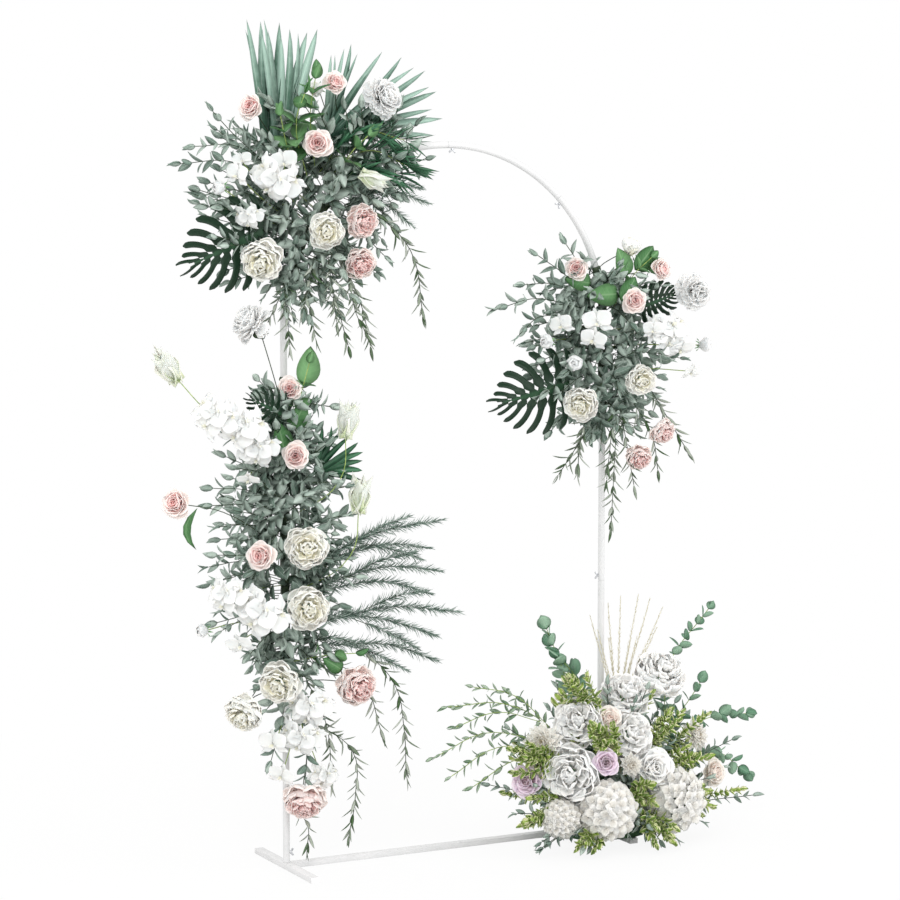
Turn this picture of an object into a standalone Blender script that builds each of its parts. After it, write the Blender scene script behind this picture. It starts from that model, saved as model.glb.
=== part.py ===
"""A wedding arch: a knock-down frame of thin round tube with a half-round head, standing on
two crosswise feet and a ground rail, and dressed with four arrangements of silk flowers.

Metres, +Z up. X runs along the ground rail, the front of the arch faces -Y, and the origin
lies on the floor under the middle of the arch.
"""

import bisect
import math

import bmesh
import bpy
from mathutils import Matrix, Vector

# Frame of the arch
ARCH_WIDTH = 1.000
SPRING_HEIGHT = 1.489
TUBE_DIAMETER = 0.019
TUBE_WALL = 0.0011
NECK_LENGTH = 0.050
NECK_TAPER = 0.0015
NECK_FIT = 0.0005
LEG_JOINT_HEIGHT = 0.737
SCREW_ABOVE_JOINT = 0.015
SCREW_ABOVE_FOOT = 0.028

# Feet and ground rail, all of the same flat box tube
BAR_WIDTH = 0.025
BAR_HEIGHT = 0.015
BAR_WALL = 0.0012
FOOT_LENGTH = 0.389
RAIL_STUB_LENGTH = 0.040
CAP_FLANGE = 0.002
CAP_PLUG = 0.012

# Wing screws
SCREW_DIAMETER = 0.005
SCREW_BOSS_DIAMETER = 0.009
SCREW_BOSS_LENGTH = 0.004
WING_SPAN = 0.022
WING_HEIGHT = 0.011
WING_THICKNESS = 0.0022

# Clearance between pieces that slide into or lie on each other
FIT = 0.0003

# Silk flowers and greenery. The left leg's own stretch with the height of its spring.
LEFT_DRESSED_AT = 1.489
LEFT_MIDDLE = 0.80
LEFT_FOLIAGE_LOW = 0.14
LEFT_FOLIAGE_HIGH = 1.34
RIGHT_BELOW_SPRING = 0.089
CORE_RADIUS = 0.016
LEAF_CLEARANCE = 0.003
WIRE_DIAMETER = 0.003
STEM_RISE = 0.012
SPINE_END = 0.004
LEAF_THICKNESS = 0.004
BROAD_LEAF = 0.053
LEAF_LEAN = 0.28
LEAF_GRID = 0.009
ALTERNATE_SPREAD = 32
PETAL_THICKNESS = 0.005
ORCHID_PETALS = 5
BRANCH_WIDTH = 0.095
BRANCH_THICKNESS = 0.006
BRANCH_SET_BACK = 0.007
MONSTERA_STEPS = 10
MONSTERA_SLIT = 0.55

# Foam block of the arrangement on the floor, its place measured from the right foot
FOAM_HALF_WIDTH = 0.150
FOAM_HALF_DEPTH = 0.130
FOAM_HEIGHT = 0.270
FOAM_X = -0.040
FOAM_Y = -0.090
FOAM_SPINE_Y = -0.13

# Sides of the round pieces
TUBE_SIDES = 12
HOLE_SIDES = 6
HEAD_SIDES = 6
WIRE_SIDES = 4
HEAD_RINGS = 5
ROD_TURN = math.radians(10)
LINE_STEPS = 49
CORE_SIDES = 16

HALF_WIDTH = ARCH_WIDTH / 2
TUBE_RADIUS = TUBE_DIAMETER / 2
TUBE_BORE = TUBE_RADIUS - TUBE_WALL
NECK_RADIUS = TUBE_BORE - NECK_FIT
NECK_BORE = NECK_RADIUS - TUBE_WALL
HEAD_LENGTH = math.pi * HALF_WIDTH
LINE_LENGTH = 2 * SPRING_HEIGHT + HEAD_LENGTH
SEGMENT_ANGLE = math.pi / 4
FRONT = Vector((0, -1, 0))
SPINE_RADIUS = CORE_RADIUS + WIRE_DIAMETER / 2 + FIT
LEFT_STRETCH = SPRING_HEIGHT / LEFT_DRESSED_AT


for old in list(bpy.context.scene.objects):
    bpy.data.objects.remove(old, do_unlink=True)

PARTS = bpy.data.collections.new("wedding_arch")
bpy.context.scene.collection.children.link(PARTS)
CUTTERS = bpy.data.collections.new("cutters")
bpy.context.scene.collection.children.link(CUTTERS)


def material(name, colour, roughness, metallic=0.0):
    """A plain Principled material."""
    made = bpy.data.materials.new(name)
    made.use_nodes = True
    shader = made.node_tree.nodes["Principled BSDF"]
    shader.inputs["Base Color"].default_value = (*colour, 1)
    shader.inputs["Roughness"].default_value = roughness
    shader.inputs["Metallic"].default_value = metallic
    return made


WHITE_COAT = material("white_powder_coat", (0.86, 0.86, 0.87), 0.42)
WHITE_PLASTIC = material("white_plastic", (0.80, 0.80, 0.81), 0.5)
SCREW_STEEL = material("zinc_plated_steel", (0.62, 0.63, 0.65), 0.35, 1.0)
SAGE = material("sage_leaf", (0.30, 0.40, 0.27), 0.8)
DARK_GREEN = material("dark_green_leaf", (0.07, 0.17, 0.05), 0.6)
PALE_GREEN = material("pale_green_leaf", (0.42, 0.50, 0.20), 0.7)
PINK = material("pink_silk", (0.80, 0.42, 0.46), 0.85)
CREAM = material("cream_silk", (0.86, 0.80, 0.70), 0.85)
WHITE_SILK = material("white_silk", (0.88, 0.89, 0.90), 0.85)
LILAC = material("lilac_silk", (0.70, 0.55, 0.66), 0.85)
STRAW = material("dried_grass", (0.72, 0.66, 0.50), 0.9)


def new_object(name, bm, home=CUTTERS, finish=None):
    """The bmesh as a named object with its faces pointing out."""
    bm.normal_update()
    bmesh.ops.recalc_face_normals(bm, faces=bm.faces)
    mesh = bpy.data.meshes.new(name)
    bm.to_mesh(mesh)
    bm.free()
    made = bpy.data.objects.new(name, mesh)
    home.objects.link(made)
    if home is CUTTERS:
        made.hide_render = True
        made.display_type = 'WIRE'
    if finish:
        mesh.materials.append(finish)
        mesh.shade_smooth()
        mesh.set_sharp_from_angle(angle=math.radians(35))
    return made


def evaluated_mesh(source):
    """The object's mesh with its modifiers applied."""
    graph = bpy.context.evaluated_depsgraph_get()
    graph.update()
    return bpy.data.meshes.new_from_object(source.evaluated_get(graph))


def combine(base, others, operation):
    """The base joined with the others, or cut by them. Only the base is left."""
    operands = bpy.data.collections.new("operands")
    CUTTERS.children.link(operands)
    for other in others:
        operands.objects.link(other)
    work = base.modifiers.new("work", 'BOOLEAN')
    work.operation = operation
    work.operand_type = 'COLLECTION'
    work.collection = operands
    work.solver = 'EXACT'
    result = evaluated_mesh(base)
    base.modifiers.clear()
    base.data = result
    for other in others:
        bpy.data.objects.remove(other, do_unlink=True)
    bpy.data.collections.remove(operands)
    return base


def finished(name, source, finish):
    """The worked object as a sub-part of the arch, under its own name and material."""
    bm = bmesh.new()
    bm.from_mesh(source.data)
    bm.transform(source.matrix_world)
    bmesh.ops.remove_doubles(bm, verts=bm.verts, dist=0.000001)
    bpy.data.objects.remove(source, do_unlink=True)
    return new_object(name, bm, PARTS, finish)


def axes(along, facing):
    """A turn whose X lies along one direction and whose Z faces another as nearly as it can."""
    x = along.normalized()
    side = facing.cross(x)
    if side.length < 1e-6:
        side = x.orthogonal()
    y = side.normalized()
    return Matrix((x, y, x.cross(y))).transposed().to_4x4()


def upright(direction):
    """A turn that brings +Z onto the direction."""
    return direction.to_track_quat('Z', 'Y').to_matrix().to_4x4()


def box(low, high):
    """A block between two corners."""
    bm = bmesh.new()
    bmesh.ops.create_cube(bm, size=1)
    size = [b - a for a, b in zip(low, high)]
    middle = [(a + b) / 2 for a, b in zip(low, high)]
    bm.transform(Matrix.Translation(middle) @ Matrix.Diagonal((*size, 1)))
    return new_object("block", bm)


def rod(start, end, radius, sides=WIRE_SIDES, end_radius=None):
    """A round rod, or a taper, between two points."""
    bm = bmesh.new()
    span = end - start
    bmesh.ops.create_cone(bm, cap_ends=True, segments=sides, radius1=radius,
                          radius2=radius if end_radius is None else end_radius, depth=span.length)
    bm.transform(Matrix.Translation((start + end) / 2) @ upright(span) @ Matrix.Rotation(ROD_TURN, 4, 'Z'))
    return new_object("rod", bm)


def wire(points, radius, sides=WIRE_SIDES):
    """A bent wire through the points, with closed ends."""
    curve = bpy.data.curves.new("wire", 'CURVE')
    curve.dimensions = '3D'
    curve.bevel_depth = radius
    curve.bevel_resolution = (sides - 4) // 2
    curve.use_fill_caps = True
    spline = curve.splines.new('POLY')
    spline.points.add(len(points) - 1)
    for place, point in zip(spline.points, points):
        place.co = (*point, 1)
    bent = bpy.data.objects.new("wire", curve)
    CUTTERS.objects.link(bent)
    bm = bmesh.new()
    bm.from_mesh(evaluated_mesh(bent))
    bmesh.ops.remove_doubles(bm, verts=bm.verts, dist=0.00001)
    bpy.data.objects.remove(bent, do_unlink=True)
    return new_object("wire", bm)


def turned(profile, sides, closed):
    """A profile of (radius, height) points turned once round the Z axis."""
    bm = bmesh.new()
    verts = [bm.verts.new((radius, 0, height)) for radius, height in profile]
    following = verts[1:] + verts[:1] if closed else verts[1:]
    edges = [bm.edges.new(pair) for pair in zip(verts, following)]
    bmesh.ops.spin(bm, geom=verts + edges, cent=(0, 0, 0), axis=(0, 0, 1),
                   angle=2 * math.pi, steps=sides, use_merge=True)
    bmesh.ops.remove_doubles(bm, verts=bm.verts, dist=0.000001)
    bm.transform(Matrix.Rotation(math.pi / sides, 4, 'Z'))
    return bm


def tube_profile(heights, necked):
    """Half section of a tube with rings at some heights, and with a drawn-in neck beyond the
    last of them if asked."""
    outside = [(TUBE_RADIUS, z) for z in heights]
    inside = [(TUBE_BORE, z) for z in heights]
    if necked:
        end = heights[-1]
        outside[-1] = (TUBE_RADIUS, end - NECK_TAPER)
        inside[-1] = (TUBE_BORE, end - 2 * NECK_TAPER)
        outside += [(NECK_RADIUS, end), (NECK_RADIUS, end + NECK_LENGTH)]
        inside += [(NECK_BORE, end - NECK_TAPER), (NECK_BORE, end + NECK_LENGTH)]
    return outside + inside[::-1]


def along_line(bm, start, direction=1):
    """Lays a tube that stands on z = 0 along the centre line of the frame from a distance."""
    for vert in bm.verts:
        place, outward = centre_line(start + direction * vert.co.z)
        vert.co = place + outward * vert.co.x + FRONT * vert.co.y


def head_stations():
    """Distances along the centre line at which the rolled tubes of the head have a ring: at
    both ends of each, at the depth of the neck inside it, and evenly between."""
    stations = []
    length = SEGMENT_ANGLE * HALF_WIDTH
    for segment in range(4):
        start = SPRING_HEIGHT + length * segment
        last = start + length - (NECK_LENGTH if segment == 3 else 0)
        step = (last - start - NECK_LENGTH) / HEAD_RINGS
        stations.append(start)
        stations += [start + NECK_LENGTH + step * i for i in range(HEAD_RINGS)]
        if segment == 3:
            stations += [last, start + length]
    return stations


STATIONS = head_stations()


def circle_point(distance):
    """Point of the round head's centre line, and the direction out of it."""
    angle = math.pi - (distance - SPRING_HEIGHT) / HALF_WIDTH
    outward = Vector((math.cos(angle), 0, math.sin(angle)))
    return Vector((0, 0, SPRING_HEIGHT)) + outward * HALF_WIDTH, outward


def centre_line(distance):
    """Point on the tube's centre line, and the direction out of the arch, at a distance that
    is measured up from the floor under the left leg and on over the head. Between two rings
    of the head it lies on the straight run that joins them."""
    if distance <= SPRING_HEIGHT:
        return Vector((-HALF_WIDTH, 0, distance)), Vector((-1, 0, 0))
    if distance >= SPRING_HEIGHT + HEAD_LENGTH:
        return Vector((HALF_WIDTH, 0, LINE_LENGTH - distance)), Vector((1, 0, 0))
    index = bisect.bisect_right(STATIONS, distance) - 1
    index = min(max(index, 0), len(STATIONS) - 2)
    before, after = STATIONS[index], STATIONS[index + 1]
    share = (distance - before) / (after - before)
    (near, near_out), (far, far_out) = circle_point(before), circle_point(after)
    return near.lerp(far, share), near_out.lerp(far_out, share).normalized()


def nearest_distance(point):
    """How far along the centre line the nearest place to a point lies."""
    if point.z < SPRING_HEIGHT:
        return point.z if point.x < 0 else LINE_LENGTH - point.z
    angle = math.atan2(point.z - SPRING_HEIGHT, point.x)
    return SPRING_HEIGHT + (math.pi - angle) * HALF_WIDTH


def round_room(radius, sides=HOLE_SIDES):
    """Radius of a cutter of few sides whose flats clear a round piece of the given radius."""
    return radius / math.cos(math.pi / sides)


WING_ROOM = round_room(WING_SPAN / 2 + 0.001)


def screw_holes(distances):
    """Cutters for the wing screws' holes, through the inner wall of the tube."""
    cutters = []
    for distance in distances:
        place, outward = centre_line(distance)
        radius = round_room(SCREW_DIAMETER / 2 + FIT)
        cutters.append(rod(place, place - outward * TUBE_DIAMETER, radius, HOLE_SIDES))
    return cutters


# Where the tubes meet, and where the screws go, as distances along the centre line
SPRING_LEFT = SPRING_HEIGHT
SPRING_RIGHT = SPRING_HEIGHT + HEAD_LENGTH
HEAD_JOINTS = [SPRING_LEFT + SEGMENT_ANGLE * HALF_WIDTH * i for i in (1, 2, 3)]
SCREWS = {
    "screw_foot_left": BAR_HEIGHT + SCREW_ABOVE_FOOT,
    "screw_leg_left": LEG_JOINT_HEIGHT + SCREW_ABOVE_JOINT,
    "screw_spring_left": SPRING_LEFT + SCREW_ABOVE_JOINT,
    "screw_head_left": HEAD_JOINTS[0] + SCREW_ABOVE_JOINT,
    "screw_head_top": HEAD_JOINTS[1] + SCREW_ABOVE_JOINT,
    "screw_head_right": HEAD_JOINTS[2] + SCREW_ABOVE_JOINT,
    "screw_spring_right": SPRING_RIGHT - SCREW_ABOVE_JOINT,
    "screw_leg_right": LINE_LENGTH - LEG_JOINT_HEIGHT - SCREW_ABOVE_JOINT,
    "screw_foot_right": LINE_LENGTH - BAR_HEIGHT - SCREW_ABOVE_FOOT,
}


def make_foot(side, label):
    """A crosswise foot: box tube, with a spigot for the leg and a stub for the rail."""
    half = BAR_WIDTH / 2
    x = side * HALF_WIDTH
    end = FOOT_LENGTH / 2 - CAP_FLANGE - FIT
    bar = box((x - half, -end, 0), (x + half, end, BAR_HEIGHT))
    stub_half = half - BAR_WALL - FIT
    low = BAR_WALL + FIT
    stub_from = x - side * (half - BAR_WALL / 2)
    stub_to = x - side * (half + RAIL_STUB_LENGTH)
    stub = box((min(stub_from, stub_to), -stub_half, low),
               (max(stub_from, stub_to), stub_half, BAR_HEIGHT - low))
    hollow_half = stub_half - BAR_WALL
    hollow_from = x - side * half
    hollow_to = x - side * (half + RAIL_STUB_LENGTH * 2)
    hollow = box((min(hollow_from, hollow_to), -hollow_half, low + BAR_WALL),
                 (max(hollow_from, hollow_to), hollow_half, BAR_HEIGHT - low - BAR_WALL))
    spigot_low = BAR_HEIGHT - BAR_WALL / 2
    spigot_high = BAR_HEIGHT + NECK_LENGTH
    spigot_profile = [(NECK_RADIUS, spigot_low), (NECK_RADIUS, spigot_high),
                      (NECK_BORE, spigot_high), (NECK_BORE, spigot_low)]
    spigot = new_object("spigot", turned(spigot_profile, TUBE_SIDES, True))
    spigot.matrix_world = Matrix.Translation((x, 0, 0))
    inside = box((x - half + BAR_WALL, -end * 2, BAR_WALL),
                 (x + half - BAR_WALL, end * 2, BAR_HEIGHT - BAR_WALL))
    foot = combine(bar, [inside], 'DIFFERENCE')
    foot = combine(foot, [stub, spigot], 'UNION')
    name = f"screw_foot_{label}"
    foot = combine(foot, [hollow] + screw_holes([SCREWS[name]]), 'DIFFERENCE')
    finished(f"foot_{label}", foot, WHITE_COAT)


def make_foot_cap(side, label, end, end_label):
    """A plug that closes one end of a foot's box tube."""
    x = side * HALF_WIDTH
    half = BAR_WIDTH / 2
    outer = end * FOOT_LENGTH / 2
    face = outer - end * CAP_FLANGE
    tip = face - end * CAP_PLUG
    flange = box((x - half, min(outer, face), 0), (x + half, max(outer, face), BAR_HEIGHT))
    plug_in = BAR_WALL + FIT
    deep = face + end * CAP_FLANGE / 2
    plug = box((x - half + plug_in, min(tip, deep), plug_in),
               (x + half - plug_in, max(tip, deep), BAR_HEIGHT - plug_in))
    finished(f"foot_cap_{label}_{end_label}", combine(flange, [plug], 'UNION'), WHITE_PLASTIC)


def make_rail():
    """The ground rail, a box tube that slides over the stubs of both feet."""
    end = HALF_WIDTH - BAR_WIDTH / 2 - FIT
    half = BAR_WIDTH / 2
    bar = box((-end, -half, 0), (end, half, BAR_HEIGHT))
    inside = box((-end * 2, -half + BAR_WALL, BAR_WALL), (end * 2, half - BAR_WALL, BAR_HEIGHT - BAR_WALL))
    finished("ground_rail", combine(bar, [inside], 'DIFFERENCE'), WHITE_COAT)


def make_leg(side, label):
    """The two tubes of a leg. Each has a neck on top that the next one slides over."""
    tubes = (("lower", BAR_HEIGHT + FIT, LEG_JOINT_HEIGHT - FIT,
              (f"screw_foot_{label}", f"screw_leg_{label}")),
             ("upper", LEG_JOINT_HEIGHT, SPRING_HEIGHT - FIT,
              (f"screw_leg_{label}", f"screw_spring_{label}")))
    for part, low, high, screws in tubes:
        bm = turned(tube_profile([0, high - low], True), TUBE_SIDES, True)
        along_line(bm, low if side < 0 else LINE_LENGTH - low, -side)
        tube = new_object("tube", bm)
        tube = combine(tube, screw_holes(SCREWS[name] for name in screws), 'DIFFERENCE')
        finished(f"leg_{label}_{part}", tube, WHITE_COAT)


def make_head_segment(name, index, screws):
    """An eighth of a circle of tube, rolled from a straight one. All but the last have a neck."""
    length = SEGMENT_ANGLE * HALF_WIDTH
    start = SPRING_HEIGHT + length * index
    rings = [station - start for station in STATIONS if start - FIT < station < start + length - FIT]
    last = length - FIT if index == 3 else length
    bm = turned(tube_profile(rings + [last], index < 3), TUBE_SIDES, True)
    along_line(bm, start)
    tube = new_object("tube", bm)
    tube = combine(tube, screw_holes(SCREWS[name] for name in screws), 'DIFFERENCE')
    finished(name, tube, WHITE_COAT)


def make_screws():
    """One wing screw for each joint, its wings on the inner side of the arch."""
    shank_tip = TUBE_RADIUS - 2 * SCREW_DIAMETER / 2
    shank = rod(Vector((0, 0, -shank_tip)), Vector((0, 0, SCREW_BOSS_LENGTH / 2)),
                SCREW_DIAMETER / 2, HOLE_SIDES)
    boss = rod(Vector((0, 0, FIT)), Vector((0, 0, SCREW_BOSS_LENGTH)), SCREW_BOSS_DIAMETER / 2, HOLE_SIDES)
    outline = bpy.data.curves.new("wing", 'CURVE')
    outline.dimensions = '2D'
    outline.fill_mode = 'BOTH'
    outline.extrude = WING_THICKNESS / 2
    spline = outline.splines.new('POLY')
    low = SCREW_BOSS_LENGTH / 2
    half = WING_SPAN / 2
    right = [(SCREW_DIAMETER / 2, low), (half * 0.8, low + WING_HEIGHT * 0.3),
             (half, low + WING_HEIGHT * 0.7), (half * 0.75, low + WING_HEIGHT),
             (half * 0.4, low + WING_HEIGHT * 0.75), (0, low + WING_HEIGHT * 0.4)]
    points = right + [(-x, y) for x, y in right[-2::-1]]
    spline.points.add(len(points) - 1)
    for place, (x, y) in zip(spline.points, points):
        place.co = (x, y, 0, 1)
    spline.use_cyclic_u = True
    flat = bpy.data.objects.new("wing", outline)
    CUTTERS.objects.link(flat)
    bm = bmesh.new()
    bm.from_mesh(evaluated_mesh(flat))
    bmesh.ops.remove_doubles(bm, verts=bm.verts, dist=0.00001)
    bm.transform(Matrix.Rotation(math.pi / 2, 4, 'X'))
    bpy.data.objects.remove(flat, do_unlink=True)
    wings = new_object("wings", bm)
    pattern = combine(shank, [boss, wings], 'UNION')
    pattern = finished("screw_foot_left", pattern, SCREW_STEEL)
    for name, distance in SCREWS.items():
        screw = pattern
        if name != pattern.name:
            screw = bpy.data.objects.new(name, pattern.data)
            PARTS.objects.link(screw)
        place, outward = centre_line(distance)
        seat = place - outward * TUBE_RADIUS
        along = outward.cross(FRONT)
        turn = Matrix((along, along.cross(outward), -outward)).transposed()
        screw.matrix_world = Matrix.Translation(seat) @ turn.to_4x4()


def make_frame():
    """The whole bare frame."""
    for side, label in ((-1, "left"), (1, "right")):
        make_foot(side, label)
        make_leg(side, label)
        for end, end_label in ((-1, "front"), (1, "back")):
            make_foot_cap(side, label, end, end_label)
    make_rail()
    make_head_segment("head_left_lower", 0, ("screw_spring_left", "screw_head_left"))
    make_head_segment("head_left_upper", 1, ("screw_head_left", "screw_head_top"))
    make_head_segment("head_right_upper", 2, ("screw_head_top", "screw_head_right"))
    make_head_segment("head_right_lower", 3, ("screw_head_right", "screw_spring_right"))
    make_screws()


# What greenery has to grow round: lines with a radius, as (start, end, radius)
TAKEN = []


def keep(start, end, radius):
    """Notes a straight piece that leaves have to stay clear of."""
    TAKEN.append((start, end, radius))


def is_free(points, margin):
    """Whether none of the points comes within the margin of a piece that is in the way."""
    middle = sum(points, Vector()) / len(points)
    reach = max((point - middle).length for point in points)
    for start, end, radius in TAKEN:
        span = end - start
        if ((start + end) / 2 - middle).length > reach + span.length / 2 + radius + margin:
            continue
        length = span.length_squared
        for point in points:
            share = max(0, min(1, (point - start).dot(span) / length)) if length else 0
            if (start + span * share - point).length < radius + margin:
                return False
    return True


def facing(turn, tilt):
    """The direction that a flower faces, turned from the front to the right and tilted up."""
    turn, tilt = math.radians(turn), math.radians(tilt)
    return Vector((math.sin(turn) * math.cos(tilt), -math.cos(turn) * math.cos(tilt), math.sin(tilt)))


# Half sections of the flower heads for a radius of 1, from the stem to the middle of the face
HEAD_FORMS = {
    "rose": [(0, -0.85), (0.65, -0.6), (0.97, 0.15), (0.5, 0.48), (0, 0.45)],
    "peony": [(0, -0.65), (0.75, -0.45), (1, 0.05), (0.6, 0.55), (0, 0.6)],
    "carnation": [(0, -0.8), (0.35, -0.5), (1, 0.05), (0.6, 0.42), (0, 0.45)],
    "tulip": [(0, -1.2), (0.75, -0.8), (0.85, 0.2), (0, 1.2)],
    "bud": [(0, -1), (0.65, -0.3), (0.5, 0.5), (0, 1.1)],
    "dahlia": [(0, -0.5), (1, 0), (0.6, 0.35), (0, 0.4)],
    "hydrangea": [(0, -0.75), (0.75, -0.5), (1, 0), (0.7, 0.55), (0, 0.75)],
}


def flower(kind, place, direction, diameter):
    """One flower head as a plain closed form."""
    if kind == "orchid":
        bm = bmesh.new()
        steps = 2 * ORCHID_PETALS
        bmesh.ops.create_circle(bm, cap_ends=True, segments=steps, radius=diameter / 2)
        for vert in bm.verts:
            angle = math.atan2(vert.co.y, vert.co.x)
            vert.co *= 0.75 + 0.25 * math.cos(ORCHID_PETALS * angle)
        raised = bmesh.ops.extrude_face_region(bm, geom=bm.faces)["geom"]
        for vert in raised:
            if isinstance(vert, bmesh.types.BMVert):
                vert.co.z += PETAL_THICKNESS
    else:
        bm = turned(HEAD_FORMS[kind], HEAD_SIDES, False)
        bm.transform(Matrix.Scale(diameter / 2, 4))
    bm.transform(Matrix.Translation(place) @ upright(direction))
    return new_object(kind, bm)


def leaf(start, tip, face, width, thickness=LEAF_THICKNESS):
    """A flat pointed leaf between its base and its tip, its broad side facing a direction."""
    bm = bmesh.new()
    sides = 6 if width > BROAD_LEAF else 4
    bmesh.ops.create_uvsphere(bm, u_segments=sides, v_segments=2, radius=1)
    bm.transform(Matrix.Rotation(math.pi / 2, 4, 'Z'))
    span = tip - start
    bm.transform(Matrix.Diagonal((span.length / 2, width / 2, thickness / 2, 1)))
    bm.transform(Matrix.Translation((start + tip) / 2) @ axes(span, face))
    return new_object("leaf", bm)


def leaf_has_room(start, tip, face, width, thickness=LEAF_THICKNESS):
    """Whether a leaf clears all that is in the way, tried on a grid of points over it."""
    across = (tip - start).cross(face).normalized() * width / 2
    rows = max(8, int((tip - start).length / LEAF_GRID))
    columns = max(2, int(width / 2 / LEAF_GRID))
    grid = []
    for i in range(rows + 1):
        bulge = math.sin(math.pi * (0.08 + 0.84 * i / rows))
        for j in range(-columns, columns + 1):
            grid.append(start.lerp(tip, i / rows) + across * bulge * j / columns)
    return is_free(grid, thickness / 2 + LEAF_CLEARANCE)


def keep_leaf(start, tip, width):
    """Notes a leaf that other greenery has to clear."""
    keep(start, tip, width / 2)


def leaves_along(points, spacing, length, width, spread, first=0.15):
    """Leaves along a wire, and one at its tip: in pairs, or by turns on either side where
    they lie close along it."""
    made = []
    total = sum((b - a).length for a, b in zip(points, points[1:]))
    count = max(1, round(total * (1 - first) / spacing))
    for i in range(count + 1):
        place, along = point_along(points, total * (first + (1 - first) * i / count))
        side = along.cross(FRONT).normalized()
        sides = (0,) if i == count else (-1, 1) if spread > ALTERNATE_SPREAD else ((-1) ** i,)
        for sign in sides:
            turned_by = math.radians(spread) * sign
            aim = along * math.cos(turned_by) + side * math.sin(turned_by)
            tip = place + aim * length
            root = place - aim * WIRE_DIAMETER * 0.2
            lean = LEAF_LEAN * math.sin(2.4 * i + sign)
            face = (FRONT + along * lean + side * LEAF_LEAN * math.cos(2.4 * i + sign)).normalized()
            if leaf_has_room(root, tip, face, width):
                made.append((root, tip, face, width))
    return made


def point_along(points, distance):
    """Point and direction at a distance along straight runs."""
    for start, end in zip(points, points[1:]):
        run = (end - start).length
        if distance <= run or end is points[-1]:
            along = (end - start).normalized()
            return start + along * min(distance, run), along
        distance -= run


def path_is_free(points, margin):
    """Whether straight runs through the points clear all that is in the way."""
    total = sum((b - a).length for a, b in zip(points, points[1:]))
    steps = max(2, int(total / 0.004))
    return is_free([point_along(points, total * i / steps)[0] for i in range(steps + 1)], margin)


class Arrangement:
    """One arrangement on the frame, and where its wires root."""

    def __init__(self, anchor, low, high, stretch=1.0):
        self.anchor = anchor
        self.low = low
        self.high = high
        self.stretch = stretch

    def at(self, point):
        """Place of a point that is given from the anchor, with its height stretched."""
        x, y, z = point
        return self.anchor + Vector((x, y, z * self.stretch))

    def on_core(self, distance, side):
        """Place of a wire that lies on the core, turned some degrees from the front outwards."""
        middle, outward = centre_line(distance)
        turn = math.radians(side)
        return middle + (FRONT * math.cos(turn) + outward * math.sin(turn)) * SPINE_RADIUS

    def root(self, point, side):
        """Start of a stem on a bunch's common wire, level with a point, and the elbow in front
        of all the common wires at which it turns towards the point."""
        distance = min(max(nearest_distance(point), self.low), self.high)
        start = self.on_core(distance, side)
        return distance, [start, Vector((start.x, -SPINE_RADIUS - STEM_RISE, start.z))]

    def spine(self, distances, side):
        """Points of the common wire of a bunch, in front of the tube."""
        low, high = min(distances) - SPINE_END, max(distances) + SPINE_END
        stops = [low] + [station for station in STATIONS if low < station < high] + [high]
        return [self.on_core(distance, side) for distance in stops]


class BaseArrangement(Arrangement):
    """The arrangement at the foot, whose common wires stand upright before its foam."""

    def root(self, point, side):
        height = min(max(point.z * 0.7, self.low), self.high)
        start = self.anchor + Vector((side, FOAM_SPINE_Y, height))
        return height, [start, start + FRONT * STEM_RISE]

    def spine(self, distances, side):
        low, high = min(distances) - SPINE_END, max(distances) + SPINE_END
        return [self.anchor + Vector((side, FOAM_SPINE_Y, height)) for height in (low, high)]


def bunch(name, finish, arrangement, side, heads=(), sprays=(), extra=None):
    """Flower heads and sprays on wires from one common wire, as one piece.

    A head is (kind, x, y, z, turn, tilt, diameter) from the arrangement's anchor. A spray is
    (points, spacing, leaf length, leaf width, spread), its points from the same anchor."""
    stems, forms, distances = [], [], []
    for kind, x, y, z, turn, tilt, diameter in heads:
        place = arrangement.at((x, y, z))
        direction = facing(turn, tilt)
        back = place - direction * (diameter * 0.18 if kind != "orchid" else -PETAL_THICKNESS / 2)
        distance, root = arrangement.root(place, side)
        distances.append(distance)
        stems.append(root + [back])
        forms.append(flower(kind, place, direction, diameter))
        depth = diameter * 0.2 if kind != "orchid" else 0.004
        keep(place - direction * depth, place + direction * depth, diameter * 0.48)
    leafed = []
    for points, spacing, length, width, spread in sprays:
        run = [arrangement.at(point) for point in points]
        distance, root = arrangement.root(run[0], side)
        distances.append(distance)
        stems.append(root + run)
        leafed.append((run, spacing, length, width, spread))
    for run, spacing, length, width, spread in leafed:
        for root, tip, face, broad in leaves_along(run, spacing, length, width, spread):
            forms.append(leaf(root, tip, face, broad))
            keep_leaf(root, tip, broad)
    if extra:
        for distance, points, shapes in extra(arrangement, side):
            distances.append(distance)
            stems.append(points)
            forms += shapes
    common = arrangement.spine(distances, side)
    radius = WIRE_DIAMETER / 2
    for run in stems + [common]:
        for start, end in zip(run, run[1:]):
            keep(start, end, radius)
    pieces = [wire(run, radius) for run in stems] + forms
    finished(name, combine(wire(common, radius), pieces, 'UNION'), finish)


def fan(arrangement, side, root, first, last, blades, near, far, width):
    """A palm leaf: blades spread from one root, longer towards the last one."""
    hub = arrangement.at(root)
    shapes = []
    for i in range(blades):
        share = i / (blades - 1)
        angle = math.radians(first + (last - first) * share)
        aim = Vector((math.cos(angle), 0.12 * math.cos(5 * angle), math.sin(angle)))
        tip = hub + aim * (near + (far - near) * share)
        shapes.append(leaf(hub - aim * 0.008, tip, FRONT, width))
        keep_leaf(hub, tip, width)
    distance, start = arrangement.root(hub, side)
    return distance, start + [hub], shapes


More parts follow.
